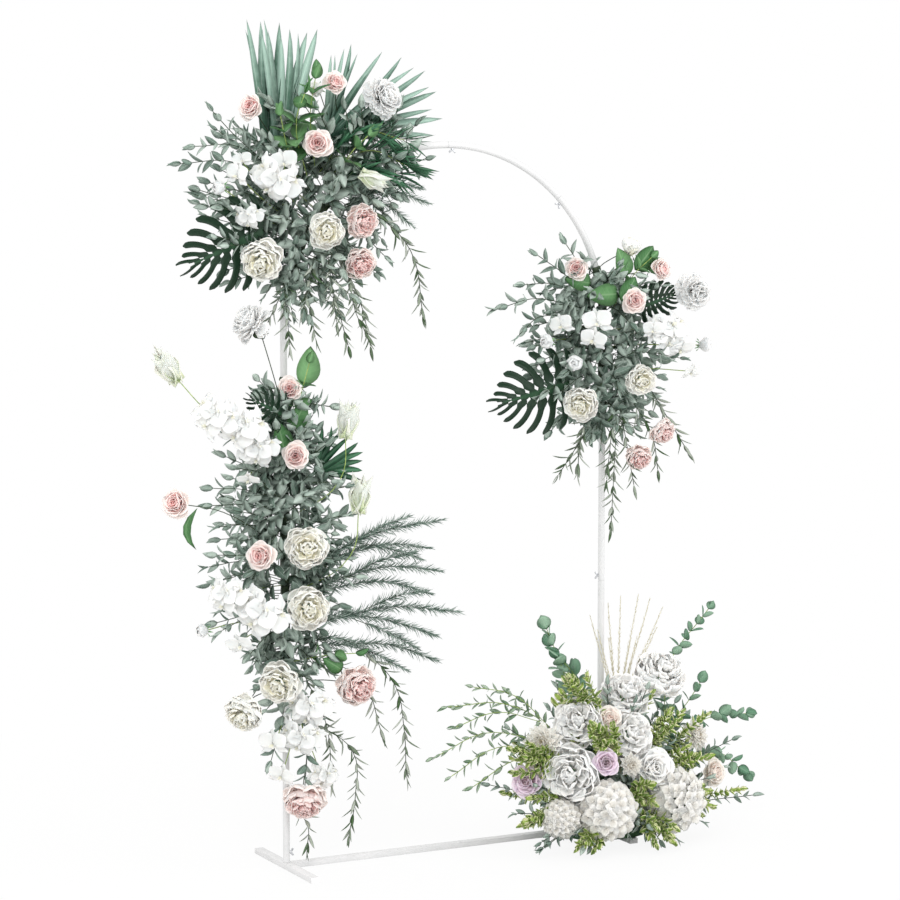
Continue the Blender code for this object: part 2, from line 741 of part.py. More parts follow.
def monstera(arrangement, side, root, tip, width, face):
    """A broad leaf with slits from its edge towards its rib."""
    start, end = arrangement.at(root), arrangement.at(tip)
    outline = bpy.data.curves.new("leaf", 'CURVE')
    outline.dimensions = '2D'
    outline.fill_mode = 'BOTH'
    outline.extrude = LEAF_THICKNESS / 2
    spline = outline.splines.new('POLY')
    length = (end - start).length
    edge = []
    for i in range(1, MONSTERA_STEPS):
        share = i / MONSTERA_STEPS
        half = width / 2 * math.sin(math.pi * share ** 0.7)
        edge.append((share * length, half * (1 if i % 2 else MONSTERA_SLIT)))
    points = [(0, 0)] + edge + [(length, 0)] + [(x, -y) for x, y in reversed(edge)]
    spline.points.add(len(points) - 1)
    for place, (x, y) in zip(spline.points, points):
        place.co = (x, y, 0, 1)
    spline.use_cyclic_u = True
    flat = bpy.data.objects.new("leaf", outline)
    CUTTERS.objects.link(flat)
    bm = bmesh.new()
    bm.from_mesh(evaluated_mesh(flat))
    bmesh.ops.remove_doubles(bm, verts=bm.verts, dist=0.00001)
    bpy.data.objects.remove(flat, do_unlink=True)
    bm.transform(Matrix.Translation(start) @ axes(end - start, face))
    keep(start.lerp(end, 0.3), start.lerp(end, 0.7), width * 0.42)
    distance, hub = arrangement.root(start, side)
    return distance, hub + [start + (end - start) * 0.08], [new_object("leaf", bm)]


def ring_of_tips(centre, half_width, half_height, depths, count, first):
    """Tips of branches round an oval, by turns at each of the depths."""
    tips = []
    for i in range(count):
        angle = math.radians(first + 360 * i / count)
        reach = 1 if i % 2 else 0.8
        tips.append(Vector((centre[0] + half_width * reach * math.cos(angle), depths[i % len(depths)],
                            centre[1] + half_height * reach * math.sin(angle))))
    return tips


def branches(arrangement, start_of, tips):
    """Leafy branches, each a flat blade out of the core, where there is room."""
    made = []
    for i, tip in enumerate(tips):
        end = arrangement.at(tip)
        start = start_of(end)
        across = (end - start).cross(FRONT).normalized()
        face = (FRONT + across * LEAF_LEAN * math.sin(2.4 * i)).normalized()
        for width in (BRANCH_WIDTH, BRANCH_WIDTH * 0.6):
            if leaf_has_room(start.lerp(end, 0.1), end, face, width, BRANCH_THICKNESS):
                made.append(leaf(start, end, face, width, BRANCH_THICKNESS))
                break
    return made


def screw_pockets(low, high):
    """Room to reach the wing screws between two distances along the centre line."""
    cutters = []
    for distance in SCREWS.values():
        if low - WING_SPAN < distance < high + WING_SPAN:
            place, outward = centre_line(distance)
            cutters.append(rod(place, place - outward * CORE_RADIUS * 2, WING_ROOM, HOLE_SIDES))
    return cutters


def make_foliage(name, finish, arrangement, tips):
    """The greenery of an arrangement on the tube: a core wrapped round it, and its branches."""
    low, high = arrangement.low - CORE_RADIUS / 2, arrangement.high + CORE_RADIUS / 2
    stations = [low] + [station for station in STATIONS if low < station < high] + [high]
    core = wire([centre_line(d)[0] for d in stations], CORE_RADIUS, CORE_SIDES)

    def start_of(end):
        nearest = arrangement.anchor + (end - arrangement.anchor) * 0.72
        distance = min(max(nearest_distance(nearest), arrangement.low + CORE_RADIUS),
                       arrangement.high - CORE_RADIUS)
        middle, _ = centre_line(distance)
        set_back = FRONT * (-BRANCH_SET_BACK if end.y > 0 else BRANCH_SET_BACK)
        return middle + set_back + (end - middle).normalized() * TUBE_RADIUS / 2

    body = combine(core, branches(arrangement, start_of, tips), 'UNION')
    before, after = low - CORE_RADIUS, high + CORE_RADIUS
    stations = [before] + [station for station in STATIONS if before < station < after] + [after]
    tube_room = round_room(TUBE_RADIUS + FIT, TUBE_SIDES)
    room = wire([centre_line(d)[0] for d in stations], tube_room, TUBE_SIDES)
    body = combine(body, [room] + screw_pockets(low, high), 'DIFFERENCE')
    finished(name, body, finish)


for _, stop in SCREWS.items():
    seat, out = centre_line(stop)
    keep(seat, seat - out * (TUBE_RADIUS + SCREW_BOSS_LENGTH + WING_HEIGHT), WING_SPAN / 2)
for i in range(LINE_STEPS):
    tube_low, tube_high = (centre_line(LINE_LENGTH * step / LINE_STEPS)[0] for step in (i, i + 1))
    keep(tube_low, tube_high, TUBE_RADIUS + FIT)
keep(Vector((-HALF_WIDTH, 0, 0)), Vector((HALF_WIDTH, 0, 0)), BAR_WIDTH / 2 + LEAF_CLEARANCE)
for side in (-1, 1):
    foot_x = side * HALF_WIDTH
    keep(Vector((foot_x, -FOOT_LENGTH / 2, 0)), Vector((foot_x, FOOT_LENGTH / 2, 0)), BAR_WIDTH / 2 + LEAF_CLEARANCE)

# Spacing, length, width and spread of the leaves of each kind of spray
VINE = (0.050, 0.066, 0.014, 28)
LONG_VINE = (0.055, 0.066, 0.014, 28)
SHORT_VINE = (0.055, 0.045, 0.013, 28)
WILLOW = (0.055, 0.070, 0.014, 30)
ROUND_LEAVES = (0.100, 0.056, 0.048, 60)
FERN = (0.080, 0.080, 0.015, 50)
EUCALYPTUS = (0.100, 0.060, 0.055, 60)
PLUME = (0.080, 0.095, 0.020, 16)

HEAD_DISTANCE = SPRING_HEIGHT + math.radians(40) * HALF_WIDTH
top = Arrangement(centre_line(HEAD_DISTANCE)[0], SPRING_HEIGHT + 0.10, SPRING_HEIGHT + 0.66)
left = Arrangement(Vector((-HALF_WIDTH, 0, LEFT_MIDDLE * LEFT_STRETCH)), LEFT_FOLIAGE_LOW * LEFT_STRETCH,
                   LEFT_FOLIAGE_HIGH * LEFT_STRETCH, LEFT_STRETCH)
right = Arrangement(Vector((HALF_WIDTH, 0, SPRING_HEIGHT - RIGHT_BELOW_SPRING)), SPRING_RIGHT - 0.15,
                    SPRING_RIGHT + 0.29)
base = BaseArrangement(Vector((HALF_WIDTH, 0, 0)), 0.03, 0.23)


def make_top():
    """The arrangement on the left half of the head."""
    bunch("top_roses", PINK, top, 20, [
        ("rose", -0.237, -0.060, 0.277, -45, 10, 0.074),
        ("rose", 0.009, -0.060, 0.344, 25, 25, 0.065),
        ("bud", -0.040, -0.050, 0.325, -60, -10, 0.045),
        ("carnation", 0.142, -0.060, 0.305, -10, 10, 0.090),
        ("rose", -0.077, -0.140, 0.180, -27, 5, 0.082),
        ("bud", 0.075, -0.120, 0.089, 60, -30, 0.050)])
    bunch("top_peonies", CREAM, top, -20, [
        ("peony", -0.055, -0.150, -0.055, -20, -5, 0.088),
        ("peony", -0.232, -0.120, -0.132, -35, -20, 0.103),
        ("carnation", 0.074, -0.100, -0.031, 0, -5, 0.081),
        ("carnation", 0.068, -0.100, -0.145, -10, -15, 0.078)])
    bunch("top_orchids", WHITE_SILK, top, 0, [
        ("orchid", -0.225, -0.160, 0.065, -35, -5, 0.085),
        ("orchid", -0.160, -0.130, 0.110, -10, 10, 0.075),
        ("orchid", -0.297, -0.120, 0.092, -60, 10, 0.060),
        ("bud", -0.345, -0.100, 0.063, -75, 0, 0.040),
        ("orchid", -0.265, -0.120, -0.015, -40, -20, 0.066)])
    bunch("top_palm_leaves", DARK_GREEN, top, 60, extra=lambda arrangement, side: [
        fan(arrangement, side, (-0.126, 0.03, 0.216), 98, 66, 5, 0.29, 0.32, 0.020),
        fan(arrangement, side, (0.035, 0.01, 0.250), 78, -4, 9, 0.20, 0.31, 0.020)])
    bunch("top_monstera_leaf", DARK_GREEN, top, 40, extra=lambda arrangement, side: [
        monstera(arrangement, side, (-0.215, -0.065, -0.050), (-0.445, -0.085, -0.150), 0.200, FRONT)])
    bunch("top_willow_vines", PALE_GREEN, top, -40, sprays=[
        ([(0.110, -0.060, 0.010), (0.239, -0.060, -0.113), (0.276, -0.060, -0.287)], *VINE),
        ([(-0.150, -0.075, -0.178), (-0.125, -0.060, -0.361)], *VINE),
        ([(-0.010, -0.060, -0.170), (0.048, -0.060, -0.366)], *VINE)])
    tips = ring_of_tips((-0.05, 0.02), 0.33, 0.30, (0.03, 0.05, -0.10), 24, 8)
    make_foliage("top_foliage", SAGE, top, tips)


def make_left():
    """The long arrangement on the left leg."""
    bunch("left_roses", PINK, left, 20, [
        ("rose", -0.010, -0.060, 0.531, -27, 15, 0.073),
        ("rose", -0.024, -0.130, 0.356, -25, 5, 0.080),
        ("rose", -0.347, -0.060, 0.240, -75, 10, 0.082),
        ("rose", -0.138, -0.150, 0.095, -45, 5, 0.086)])
    bunch("left_peonies", CREAM, left, -20, [
        ("peony", -0.006, -0.160, 0.110, -20, 5, 0.107),
        ("peony", -0.001, -0.160, -0.056, -15, 0, 0.108),
        ("peony", -0.077, -0.130, -0.258, -40, -10, 0.105),
        ("carnation", -0.172, -0.110, -0.335, -50, -35, 0.100),
        ("carnation", 0.167, -0.110, -0.287, 5, -10, 0.105),
        ("carnation", 0.019, -0.070, -0.600, -27, -60, 0.088)])
    bunch("left_orchids", WHITE_SILK, left, 0, [
        ("orchid", -0.235, -0.110, 0.455, -40, 10, 0.100),
        ("orchid", -0.150, -0.125, 0.470, -15, 20, 0.080),
        ("orchid", -0.140, -0.120, 0.388, -20, 0, 0.085),
        ("orchid", -0.155, -0.115, 0.300, -30, -50, 0.060),
        ("orchid", -0.224, -0.135, -0.005, -50, 10, 0.080),
        ("orchid", -0.140, -0.170, -0.060, -30, 0, 0.100),
        ("bud", -0.286, -0.100, -0.103, -80, 0, 0.045),
        ("orchid", -0.190, -0.140, -0.140, -40, -30, 0.085),
        ("orchid", 0.018, -0.125, -0.344, -20, 0, 0.080),
        ("orchid", 0.002, -0.115, -0.425, -30, -20, 0.084),
        ("orchid", -0.075, -0.090, -0.440, -60, 0, 0.065),
        ("orchid", -0.045, -0.080, -0.520, -50, -30, 0.070),
        ("orchid", 0.090, -0.080, -0.540, 20, -30, 0.070)])
    bunch("left_tulips", WHITE_SILK, left, -80, [
        ("carnation", -0.118, -0.085, 0.700, -60, 30, 0.078),
        ("tulip", -0.345, -0.040, 0.590, -60, 45, 0.052),
        ("tulip", 0.151, -0.080, 0.430, 10, 70, 0.050),
        ("tulip", 0.190, -0.080, 0.240, 10, 70, 0.050)])
    bunch("left_ferns", DARK_GREEN, left, -60, sprays=[
        ([(0.090, -0.050, 0.060), (0.270, -0.070, 0.130), (0.440, -0.070, 0.150)], *FERN),
        ([(0.100, -0.050, -0.010), (0.280, -0.070, 0.030), (0.430, -0.070, 0.010)], *FERN),
        ([(0.100, -0.045, -0.110), (0.300, -0.060, -0.085), (0.490, -0.070, -0.110)], *FERN),
        ([(0.120, -0.045, -0.180), (0.290, -0.060, -0.190), (0.420, -0.070, -0.240)], *FERN)])
    bunch("left_willow_vines", PALE_GREEN, left, -40, sprays=[
        ([(0.060, -0.040, -0.390), (0.175, -0.060, -0.480), (0.182, -0.060, -0.610),
          (0.163, -0.060, -0.712)], *LONG_VINE),
        ([(0.012, -0.036, -0.625), (0.045, -0.045, -0.680), (0.042, -0.045, -0.742)], *SHORT_VINE),
        ([(0.205, -0.040, -0.190), (0.303, -0.060, -0.300), (0.333, -0.060, -0.430),
          (0.339, -0.060, -0.560)], *LONG_VINE)])
    tips = ring_of_tips((-0.01, 0.0), 0.24, 0.52, (0.03, 0.05, -0.10), 26, 4)
    make_foliage("left_foliage", SAGE, left, tips)


def make_right():
    """The arrangement at the top of the right leg."""
    bunch("right_roses", PINK, right, 20, [
        ("rose", -0.133, -0.070, 0.244, -35, 15, 0.065),
        ("rose", 0.151, -0.060, 0.237, 60, 10, 0.063),
        ("rose", 0.030, -0.130, 0.151, -15, 5, 0.074),
        ("bud", 0.060, -0.050, 0.300, 20, 50, 0.055),
        ("carnation", 0.246, -0.080, 0.171, 30, 5, 0.090)])
    bunch("right_lilies", WHITE_SILK, right, 0, [
        ("orchid", -0.195, -0.110, 0.078, -50, 5, 0.068),
        ("orchid", -0.105, -0.150, 0.069, -25, 0, 0.090),
        ("bud", -0.240, -0.100, 0.030, -60, 0, 0.038),
        ("bud", -0.159, -0.120, -0.032, -40, -10, 0.040),
        ("orchid", 0.166, -0.125, 0.070, 10, 10, 0.090),
        ("orchid", 0.084, -0.140, 0.060, -20, 0, 0.055),
        ("orchid", 0.180, -0.115, 0.000, 0, -40, 0.070),
        ("bud", 0.300, -0.080, 0.001, 50, -10, 0.040),
        ("orchid", 0.235, -0.090, -0.067, 30, -60, 0.060)])
    bunch("right_peonies", CREAM, right, -20, [
        ("peony", 0.041, -0.150, -0.074, -15, -5, 0.080),
        ("peony", -0.138, -0.120, -0.139, -35, -10, 0.092),
        ("carnation", 0.138, -0.110, -0.229, 10, -30, 0.072),
        ("carnation", 0.066, -0.100, -0.301, -10, -25, 0.072)])
    bunch("right_monstera_leaf", DARK_GREEN, right, -60, extra=lambda arrangement, side: [
        monstera(arrangement, side, (-0.140, -0.055, -0.085), (-0.410, -0.085, -0.140), 0.200, FRONT)])
    bunch("right_willow_vines", PALE_GREEN, right, -40, sprays=[
        ([(-0.080, -0.060, -0.215), (-0.185, -0.075, -0.340)], *VINE),
        ([(0.010, -0.060, -0.260), (-0.009, -0.070, -0.500)], *VINE),
        ([(0.120, -0.060, -0.100), (0.242, -0.075, -0.290)], *VINE)])
    tips = ring_of_tips((0.0, -0.02), 0.25, 0.27, (0.03, 0.05, -0.10), 20, 13)
    make_foliage("right_foliage", SAGE, right, tips)


def make_base():
    """The arrangement that stands on the floor round the right foot."""
    bunch("base_roses", WHITE_SILK, base, 0.0, [
        ("rose", 0.131, -0.120, 0.471, 0, 40, 0.115),
        ("rose", -0.002, -0.130, 0.423, -10, 45, 0.104),
        ("rose", -0.199, -0.200, 0.377, -40, 20, 0.098),
        ("rose", 0.022, -0.270, 0.224, -10, 15, 0.106),
        ("peony", -0.259, -0.240, 0.232, -45, 5, 0.118)])
    bunch("base_dahlias", LILAC, base, -0.050, [
        ("rose", -0.104, -0.220, 0.390, -20, 30, 0.072),
        ("dahlia", -0.050, -0.240, 0.317, -5, 15, 0.095),
        ("dahlia", -0.300, -0.180, 0.328, -55, 10, 0.095),
        ("rose", -0.145, -0.290, 0.272, -25, 10, 0.068),
        ("rose", -0.350, -0.180, 0.215, -60, 0, 0.085)])
    bunch("base_hydrangeas", CREAM, base, 0.050, [
        ("hydrangea", -0.120, -0.290, 0.115, -25, -10, 0.150),
        ("hydrangea", 0.130, -0.250, 0.115, 10, -5, 0.160),
        ("rose", 0.288, -0.150, 0.177, 40, 0, 0.078),
        ("dahlia", 0.219, -0.150, 0.297, 35, 15, 0.080)])
    bunch("base_eucalyptus", SAGE, base, 0.080, sprays=[
        ([(0.160, -0.080, 0.330), (0.180, -0.080, 0.480), (0.316, -0.080, 0.640)], *EUCALYPTUS),
        ([(0.190, -0.080, 0.240), (0.300, -0.100, 0.340), (0.440, -0.110, 0.300)], *EUCALYPTUS),
        ([(0.190, -0.080, 0.150), (0.320, -0.100, 0.220), (0.430, -0.110, 0.150)], *EUCALYPTUS)])
    bunch("base_grass_plumes", STRAW, base, 0.025, sprays=[
        ([(0.000, -0.060, 0.360), (-0.052, -0.065, 0.680)], *PLUME),
        ([(0.040, -0.060, 0.360), (0.054, -0.065, 0.690)], *PLUME),
        ([(0.075, -0.060, 0.360), (0.150, -0.065, 0.660)], *PLUME)])
    bunch("base_willow", PALE_GREEN, base, -0.080, sprays=[
        ([(-0.180, -0.100, 0.300), (-0.390, -0.150, 0.430), (-0.586, -0.170, 0.443)], *WILLOW),
        ([(-0.180, -0.145, 0.240), (-0.300, -0.120, 0.300), (-0.420, -0.130, 0.350),
          (-0.620, -0.150, 0.301)], *WILLOW),
        ([(-0.110, -0.060, 0.360), (-0.180, -0.080, 0.520), (-0.224, -0.080, 0.633)], *ROUND_LEAVES)])
    make_base_foliage()


def make_base_foliage():
    """A foam block on the floor round the foot, dressed with sprigs."""
    bm = bmesh.new()
    bmesh.ops.create_uvsphere(bm, u_segments=12, v_segments=6, radius=1)
    bm.transform(Matrix.Diagonal((FOAM_HALF_WIDTH, FOAM_HALF_DEPTH, FOAM_HEIGHT, 1)))
    bm.transform(Matrix.Translation(base.anchor + Vector((FOAM_X, FOAM_Y, 0))))
    foam = new_object("foam", bm)
    below = box((-1, -1, -1), (2, 1, 0))
    before = box((-1, -1, -1), (2, FOAM_SPINE_Y + WIRE_DIAMETER / 2 + FIT, 1))
    foam = combine(foam, [below, before], 'DIFFERENCE')
    middle = base.anchor + Vector((FOAM_X, FOAM_Y, 0))

    def start_of(end):
        inner = middle + Vector((0, 0, min(end.z * 0.4, FOAM_HEIGHT * 0.5)))
        aim = end - inner
        reach = 1 / math.sqrt((aim.x / FOAM_HALF_WIDTH) ** 2 + (aim.y / FOAM_HALF_DEPTH) ** 2
                              + (aim.z / FOAM_HEIGHT) ** 2)
        return inner + aim * reach * 0.6

    tips = []
    for i in range(14):
        angle = math.radians(-2 + 184 * i / 13)
        reach = 0.36 if i % 2 else 0.42
        tips.append(Vector((-0.02 + reach * math.cos(angle), (-0.02, -0.19)[i % 2],
                            0.16 + reach * 0.95 * math.sin(angle))))
    body = combine(foam, branches(base, start_of, tips), 'UNION')
    x = HALF_WIDTH
    half = BAR_WIDTH / 2 + FIT
    top_of_bar = BAR_HEIGHT + FIT
    cutters = [box((x - half, -FOOT_LENGTH, -1), (x + half, FOOT_LENGTH, top_of_bar)),
               box((0, -half, -1), (x, half, top_of_bar)),
               rod(Vector((x, 0, 0)), Vector((x, 0, FOAM_HEIGHT * 2)), TUBE_RADIUS + 2 * FIT, TUBE_SIDES)]
    place, outward = centre_line(SCREWS["screw_foot_right"])
    cutters.append(rod(place, place - outward * FOAM_HALF_WIDTH / 3, WING_ROOM, HOLE_SIDES))
    body = combine(body, cutters, 'DIFFERENCE')
    finished("base_foliage", body, SAGE)


make_frame()
make_top()
make_left()
make_right()
make_base()
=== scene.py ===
# %% [markdown]
# # A wedding arch dressed with silk flowers
# The bare arch is a knock-down frame of thin white tube. Its round head and both legs push
# together from short tubes, and wing screws hold the joints. Four arrangements of silk flowers
# are wired to it: one on the head, one down the left leg, one at the top of the right leg, and
# one on the floor round the right foot. The solids of the frame are loaded first, and all that
# is made here is set against them, in metres, with the floor at height 0.

# %% Load the measured frame
import math
import random
from collections import namedtuple

import bmesh
import bpy
from mathutils import Matrix, Vector


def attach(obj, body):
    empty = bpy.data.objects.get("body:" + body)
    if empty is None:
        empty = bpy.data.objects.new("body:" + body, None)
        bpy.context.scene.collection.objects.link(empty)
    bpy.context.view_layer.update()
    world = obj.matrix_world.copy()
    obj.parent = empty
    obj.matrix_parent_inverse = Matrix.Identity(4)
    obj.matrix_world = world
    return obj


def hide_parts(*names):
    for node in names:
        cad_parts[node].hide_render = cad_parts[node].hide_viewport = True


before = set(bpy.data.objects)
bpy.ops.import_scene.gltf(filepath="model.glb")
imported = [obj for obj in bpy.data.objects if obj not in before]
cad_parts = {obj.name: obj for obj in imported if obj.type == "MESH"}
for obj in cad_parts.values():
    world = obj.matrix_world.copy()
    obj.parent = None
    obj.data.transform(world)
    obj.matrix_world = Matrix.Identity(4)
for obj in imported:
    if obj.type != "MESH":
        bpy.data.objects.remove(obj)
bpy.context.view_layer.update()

# %% [markdown]
# ## Camera
# The camera stands to the left of the arch and a little below its top, far enough away that
# the two legs look nearly the same length. A long lens keeps the round head round.

# %% Set the camera
scene = bpy.context.scene
CAMERA_PLACE = (-3.5809, -7.0064, 1.9057)
CAMERA_YAW = 27.12
CAMERA_DIP = 5.575
LENS = 112.73

camera_data = bpy.data.cameras.new("camera")
camera_data.sensor_width = 36
camera_data.lens = LENS
camera = bpy.data.objects.new("camera", camera_data)
camera.location = CAMERA_PLACE
camera.rotation_euler = (math.radians(90 - CAMERA_DIP), 0, math.radians(-CAMERA_YAW))
scene.collection.objects.link(camera)
scene.camera = camera
scene.view_settings.view_transform = 'Standard'
print("camera", LENS, "mm")

# %% [markdown]
# ## Small tools for node trees
# Shaders and Geometry Nodes are both trees of nodes. Here a node's output is wrapped as a
# value: adding to it or multiplying it adds a Math node, so that a tree reads like a formula.


# %% Node tools
def maths(operation):
    """A method that puts a value, and what follows it, through one kind of Math node."""
    def method(value, *others):
        return node(value.tree, "ShaderNodeMath", dict(enumerate((value, *others))), operation=operation)
    return method


class Value:
    """A node's output, ready for sums and for links."""

    def __init__(self, socket):
        self.socket = socket
        self.tree = socket.id_data

    __add__, __sub__, __mul__ = maths('ADD'), maths('SUBTRACT'), maths('MULTIPLY')
    __truediv__, __pow__ = maths('DIVIDE'), maths('POWER')
    sine, cosine, radians = maths('SINE'), maths('COSINE'), maths('RADIANS')
    fraction, size, larger = maths('FRACT'), maths('ABSOLUTE'), maths('MAXIMUM')
    above, below = maths('GREATER_THAN'), maths('LESS_THAN')

    def __rsub__(self, number):
        return node(self.tree, "ShaderNodeMath", {0: number, 1: self}, operation='SUBTRACT')

    def other(self, label):
        """Another output of the same node."""
        return Value(self.socket.node.outputs[label])

    def ramp(self, low, high, to_low=0.0, to_high=1.0):
        """The value's range mapped smoothly onto another."""
        inputs = {"Value": self, "From Min": low, "From Max": high, "To Min": to_low, "To Max": to_high}
        return node(self.tree, "ShaderNodeMapRange", inputs, interpolation_type='SMOOTHSTEP')

    def between(self, low, high):
        """A number between two, as far along as the value says."""
        return node(self.tree, "ShaderNodeMix", {0: self, 2: low, 3: high})

    def blend(self, first, second):
        """A mix of two colours, as far along as the value says."""
        return node(self.tree, "ShaderNodeMix", {0: self, 6: first, 7: second}, 2, data_type='RGBA')


def node(tree, kind, inputs=(), out=0, **settings):
    """Adds a node, fills its inputs with numbers, colours or values, and gives one output."""
    made = tree.nodes.new(kind)
    for key, value in settings.items():
        setattr(made, key, value)
    for key, value in dict(inputs).items():
        socket = made.inputs[key]
        if isinstance(value, Value):
            tree.links.new(value.socket, socket)
        else:
            socket.default_value = (*value, 1) if socket.type == 'RGBA' else value
    return Value(made.outputs[out])


def link(inputs, **values):
    """Links values to inputs by name, with _ for a space."""
    for label, value in values.items():
        value.tree.links.new(value.socket, inputs[label.replace("_", " ")])


def new_group(name, kind, inputs, outputs):
    """An empty group. Each input is given by its first value, or by the name of its type."""
    tree = bpy.data.node_groups.new(name, kind)
    for label, value in inputs.items():
        plain = not isinstance(value, str)
        socket_type = type(value).__name__.capitalize() if plain else value
        socket = tree.interface.new_socket(label, in_out='INPUT', socket_type="NodeSocket" + socket_type)
        if plain:
            socket.default_value = value
    for label, socket_type in outputs.items():
        tree.interface.new_socket(label, in_out='OUTPUT', socket_type="NodeSocket" + socket_type)
    given = {socket.name: Value(socket) for socket in tree.nodes.new("NodeGroupInput").outputs}
    return tree, given, tree.nodes.new("NodeGroupOutput").inputs


print("node tools ready")

# %% [markdown]
# ## Finishes
# The frame is steel tube under white powder coat: even, satin, with a very fine orange peel.
# The petals are printed silk, matt, darker at the heart and pale at the rim, with faint lines
# that fan out along each petal. The leaves are printed too, with a pale midrib and side veins.
# Silk and leaf each get one shader group, which reads the petal's or the leaf's own UV map: U
# runs across it and V from its base to its tip.


# %% Shader groups
def object_place(tree):
    """The place on the object."""
    return node(tree, "ShaderNodeTexCoord", (), 3)


def noise(place, scale, detail):
    """Soft random blots."""
    return node(place.tree, "ShaderNodeTexNoise", {"Vector": place, "Scale": scale, "Detail": detail})


def surface(tree):
    """Across and along a petal or a leaf, its own tint, and the place on the object."""
    across = node(tree, "ShaderNodeSeparateXYZ", {0: node(tree, "ShaderNodeUVMap", uv_map="UVMap")})
    tint = node(tree, "ShaderNodeAttribute", (), 2, attribute_name="tint")
    return across, across.other("Y"), tint, object_place(tree)


def silk_group():
    """Colour and height of a silk petal, from its heart out to its rim."""
    tree, given, result = new_group("silk", 'ShaderNodeTree', {
        "Heart": "Color", "Rim": "Color", "Reach": 0.5}, {"Color": "Color", "Height": "Float"})
    across, along, tint, place = surface(tree)
    layer = node(tree, "ShaderNodeAttribute", (), 2, attribute_name="layer")
    depth = layer * 0.65 + along * 0.45 + (noise(place, 45.0, 3.0) - 0.5) * 0.35
    openness = depth.ramp(given["Reach"] - 0.35, given["Reach"] + 0.35)
    petal = openness.blend(given["Heart"], given["Rim"])
    lines = (across * 70.0).sine() * (1.0 - along)
    shade = tint * 0.045 + 0.955 + lines * 0.012
    grey = node(tree, "ShaderNodeCombineXYZ", {0: shade, 1: shade, 2: shade})
    shaded = node(tree, "ShaderNodeMix", {0: 1.0, 6: petal, 7: grey}, 2, data_type='RGBA',
                  blend_type='MULTIPLY')
    link(result, Color=shaded, Height=lines * 0.5 + noise(place, 1400.0, 1.0) * 0.35)
    return tree


def leaf_group():
    """Colour and height of a printed leaf with a midrib, side veins and a margin."""
    tree, given, result = new_group("leaf", 'ShaderNodeTree', {
        "Dark": "Color", "Light": "Color", "Vein": "Color", "Margin": "Color", "Margin width": 0.0,
        "Veins": 7.0, "Vein strength": 0.5, "Tip fade": 0.0}, {"Color": "Color", "Height": "Float"})
    across, along, tint, place = surface(tree)
    side = (across * 2.0 - 1.0).size()
    rib = side.ramp(0.03, 0.12, 1.0, 0.0)
    gap = (((along - side * 0.22) * given["Veins"]).fraction() - 0.5).size()
    vein = rib.larger(gap.ramp(0.0, 0.09, 0.6, 0.0)) * given["Vein strength"]
    cloud = noise(place, 60.0, 4.0)
    # Random tone, and painted shade: the last term darkens each leaf towards its base, where blades crowd,
    # and lightens it towards its tip.
    mottle_and_shade = tint * 0.75 + cloud * 0.5 + (along - 0.5) * given["Tip fade"]
    body = mottle_and_shade.ramp(0.15, 1.05).blend(given["Dark"], given["Light"])
    width = given["Margin width"]
    rim = (side + (cloud - 0.5) * 0.5).ramp(0.96 - width, 1.04 - width) * width.above(0.01)
    body = rim.blend(body, given["Margin"])
    link(result, Color=vein.blend(body, given["Vein"]), Height=noise(place, 900.0, 1.0) * 0.3 - vein)
    return tree


SILK = silk_group()
LEAF = leaf_group()
print("shader groups:", SILK.name, LEAF.name)

# %% [markdown]
# A finish is then a short call: a petal of some colours, a leaf of some colours, a stem.


# %% Materials
def new_material(name, **plain):
    """A material's own block, its tree and its shader's inputs, with plain values set by name."""
    made = bpy.data.materials.new(name)
    made.use_nodes = True
    inputs = made.node_tree.nodes["Principled BSDF"].inputs
    for label, value in plain.items():
        inputs[label.replace("_", " ")].default_value = value
    return made, made.node_tree, inputs


def bumped(height, strength, distance):
    """A Bump node on a height."""
    return node(height.tree, "ShaderNodeBump", {"Height": height, "Strength": strength, "Distance": distance})


def printed(name, group, values, bump, distance, **plain):
    """A finish whose colour and height come from a shader group."""
    made, tree, shader = new_material(name, **plain)
    hue = node(tree, "ShaderNodeGroup", values, "Color", node_tree=group)
    link(shader, Base_Color=hue, Normal=bumped(hue.other("Height"), bump, distance))
    return made


def silk(name, heart, rim, reach):
    """A petal's finish, from its heart colour to its rim colour."""
    return printed(name, SILK, {"Heart": heart, "Rim": rim, "Reach": reach}, 0.35, 0.0006, Roughness=0.78,
                   Specular_IOR_Level=0.25, Sheen_Weight=0.25, Subsurface_Weight=0.55,
                   Subsurface_Radius=(0.012, 0.010, 0.009), Subsurface_Scale=1.0)


def leafy(name, dark, light, vein, veins, strength, margin=None, width=0.0, roughness=0.6, base_shade=0.0):
    """A leaf's finish, between a dark and a light green, with its veins, its margin and painted base shade.
    """
    values = {"Dark": dark, "Light": light, "Vein": vein, "Margin": margin or light,
              "Margin width": width, "Veins": veins, "Vein strength": strength, "Tip fade": base_shade}
    return printed(name, LEAF, values, 0.5, 0.0008, Specular_IOR_Level=0.35, Roughness=roughness)


def mottled(name, first, second, roughness, scale, bump=0.3, metallic=0.0, depth=0.0004):
    """A plain finish that drifts between two colours, with a fine grain."""
    made, tree, shader = new_material(name, Metallic=metallic)
    place = object_place(tree)
    cloud, grain = noise(place, scale, 4.0), noise(place, scale * 12, 2.0)
    link(shader, Base_Color=cloud.ramp(0.35, 0.65).blend(first, second),
         Roughness=cloud.ramp(0.3, 0.7, roughness - 0.06, roughness + 0.06),
         Normal=bumped(grain, bump, depth))
    return made


print("makers of finishes ready")
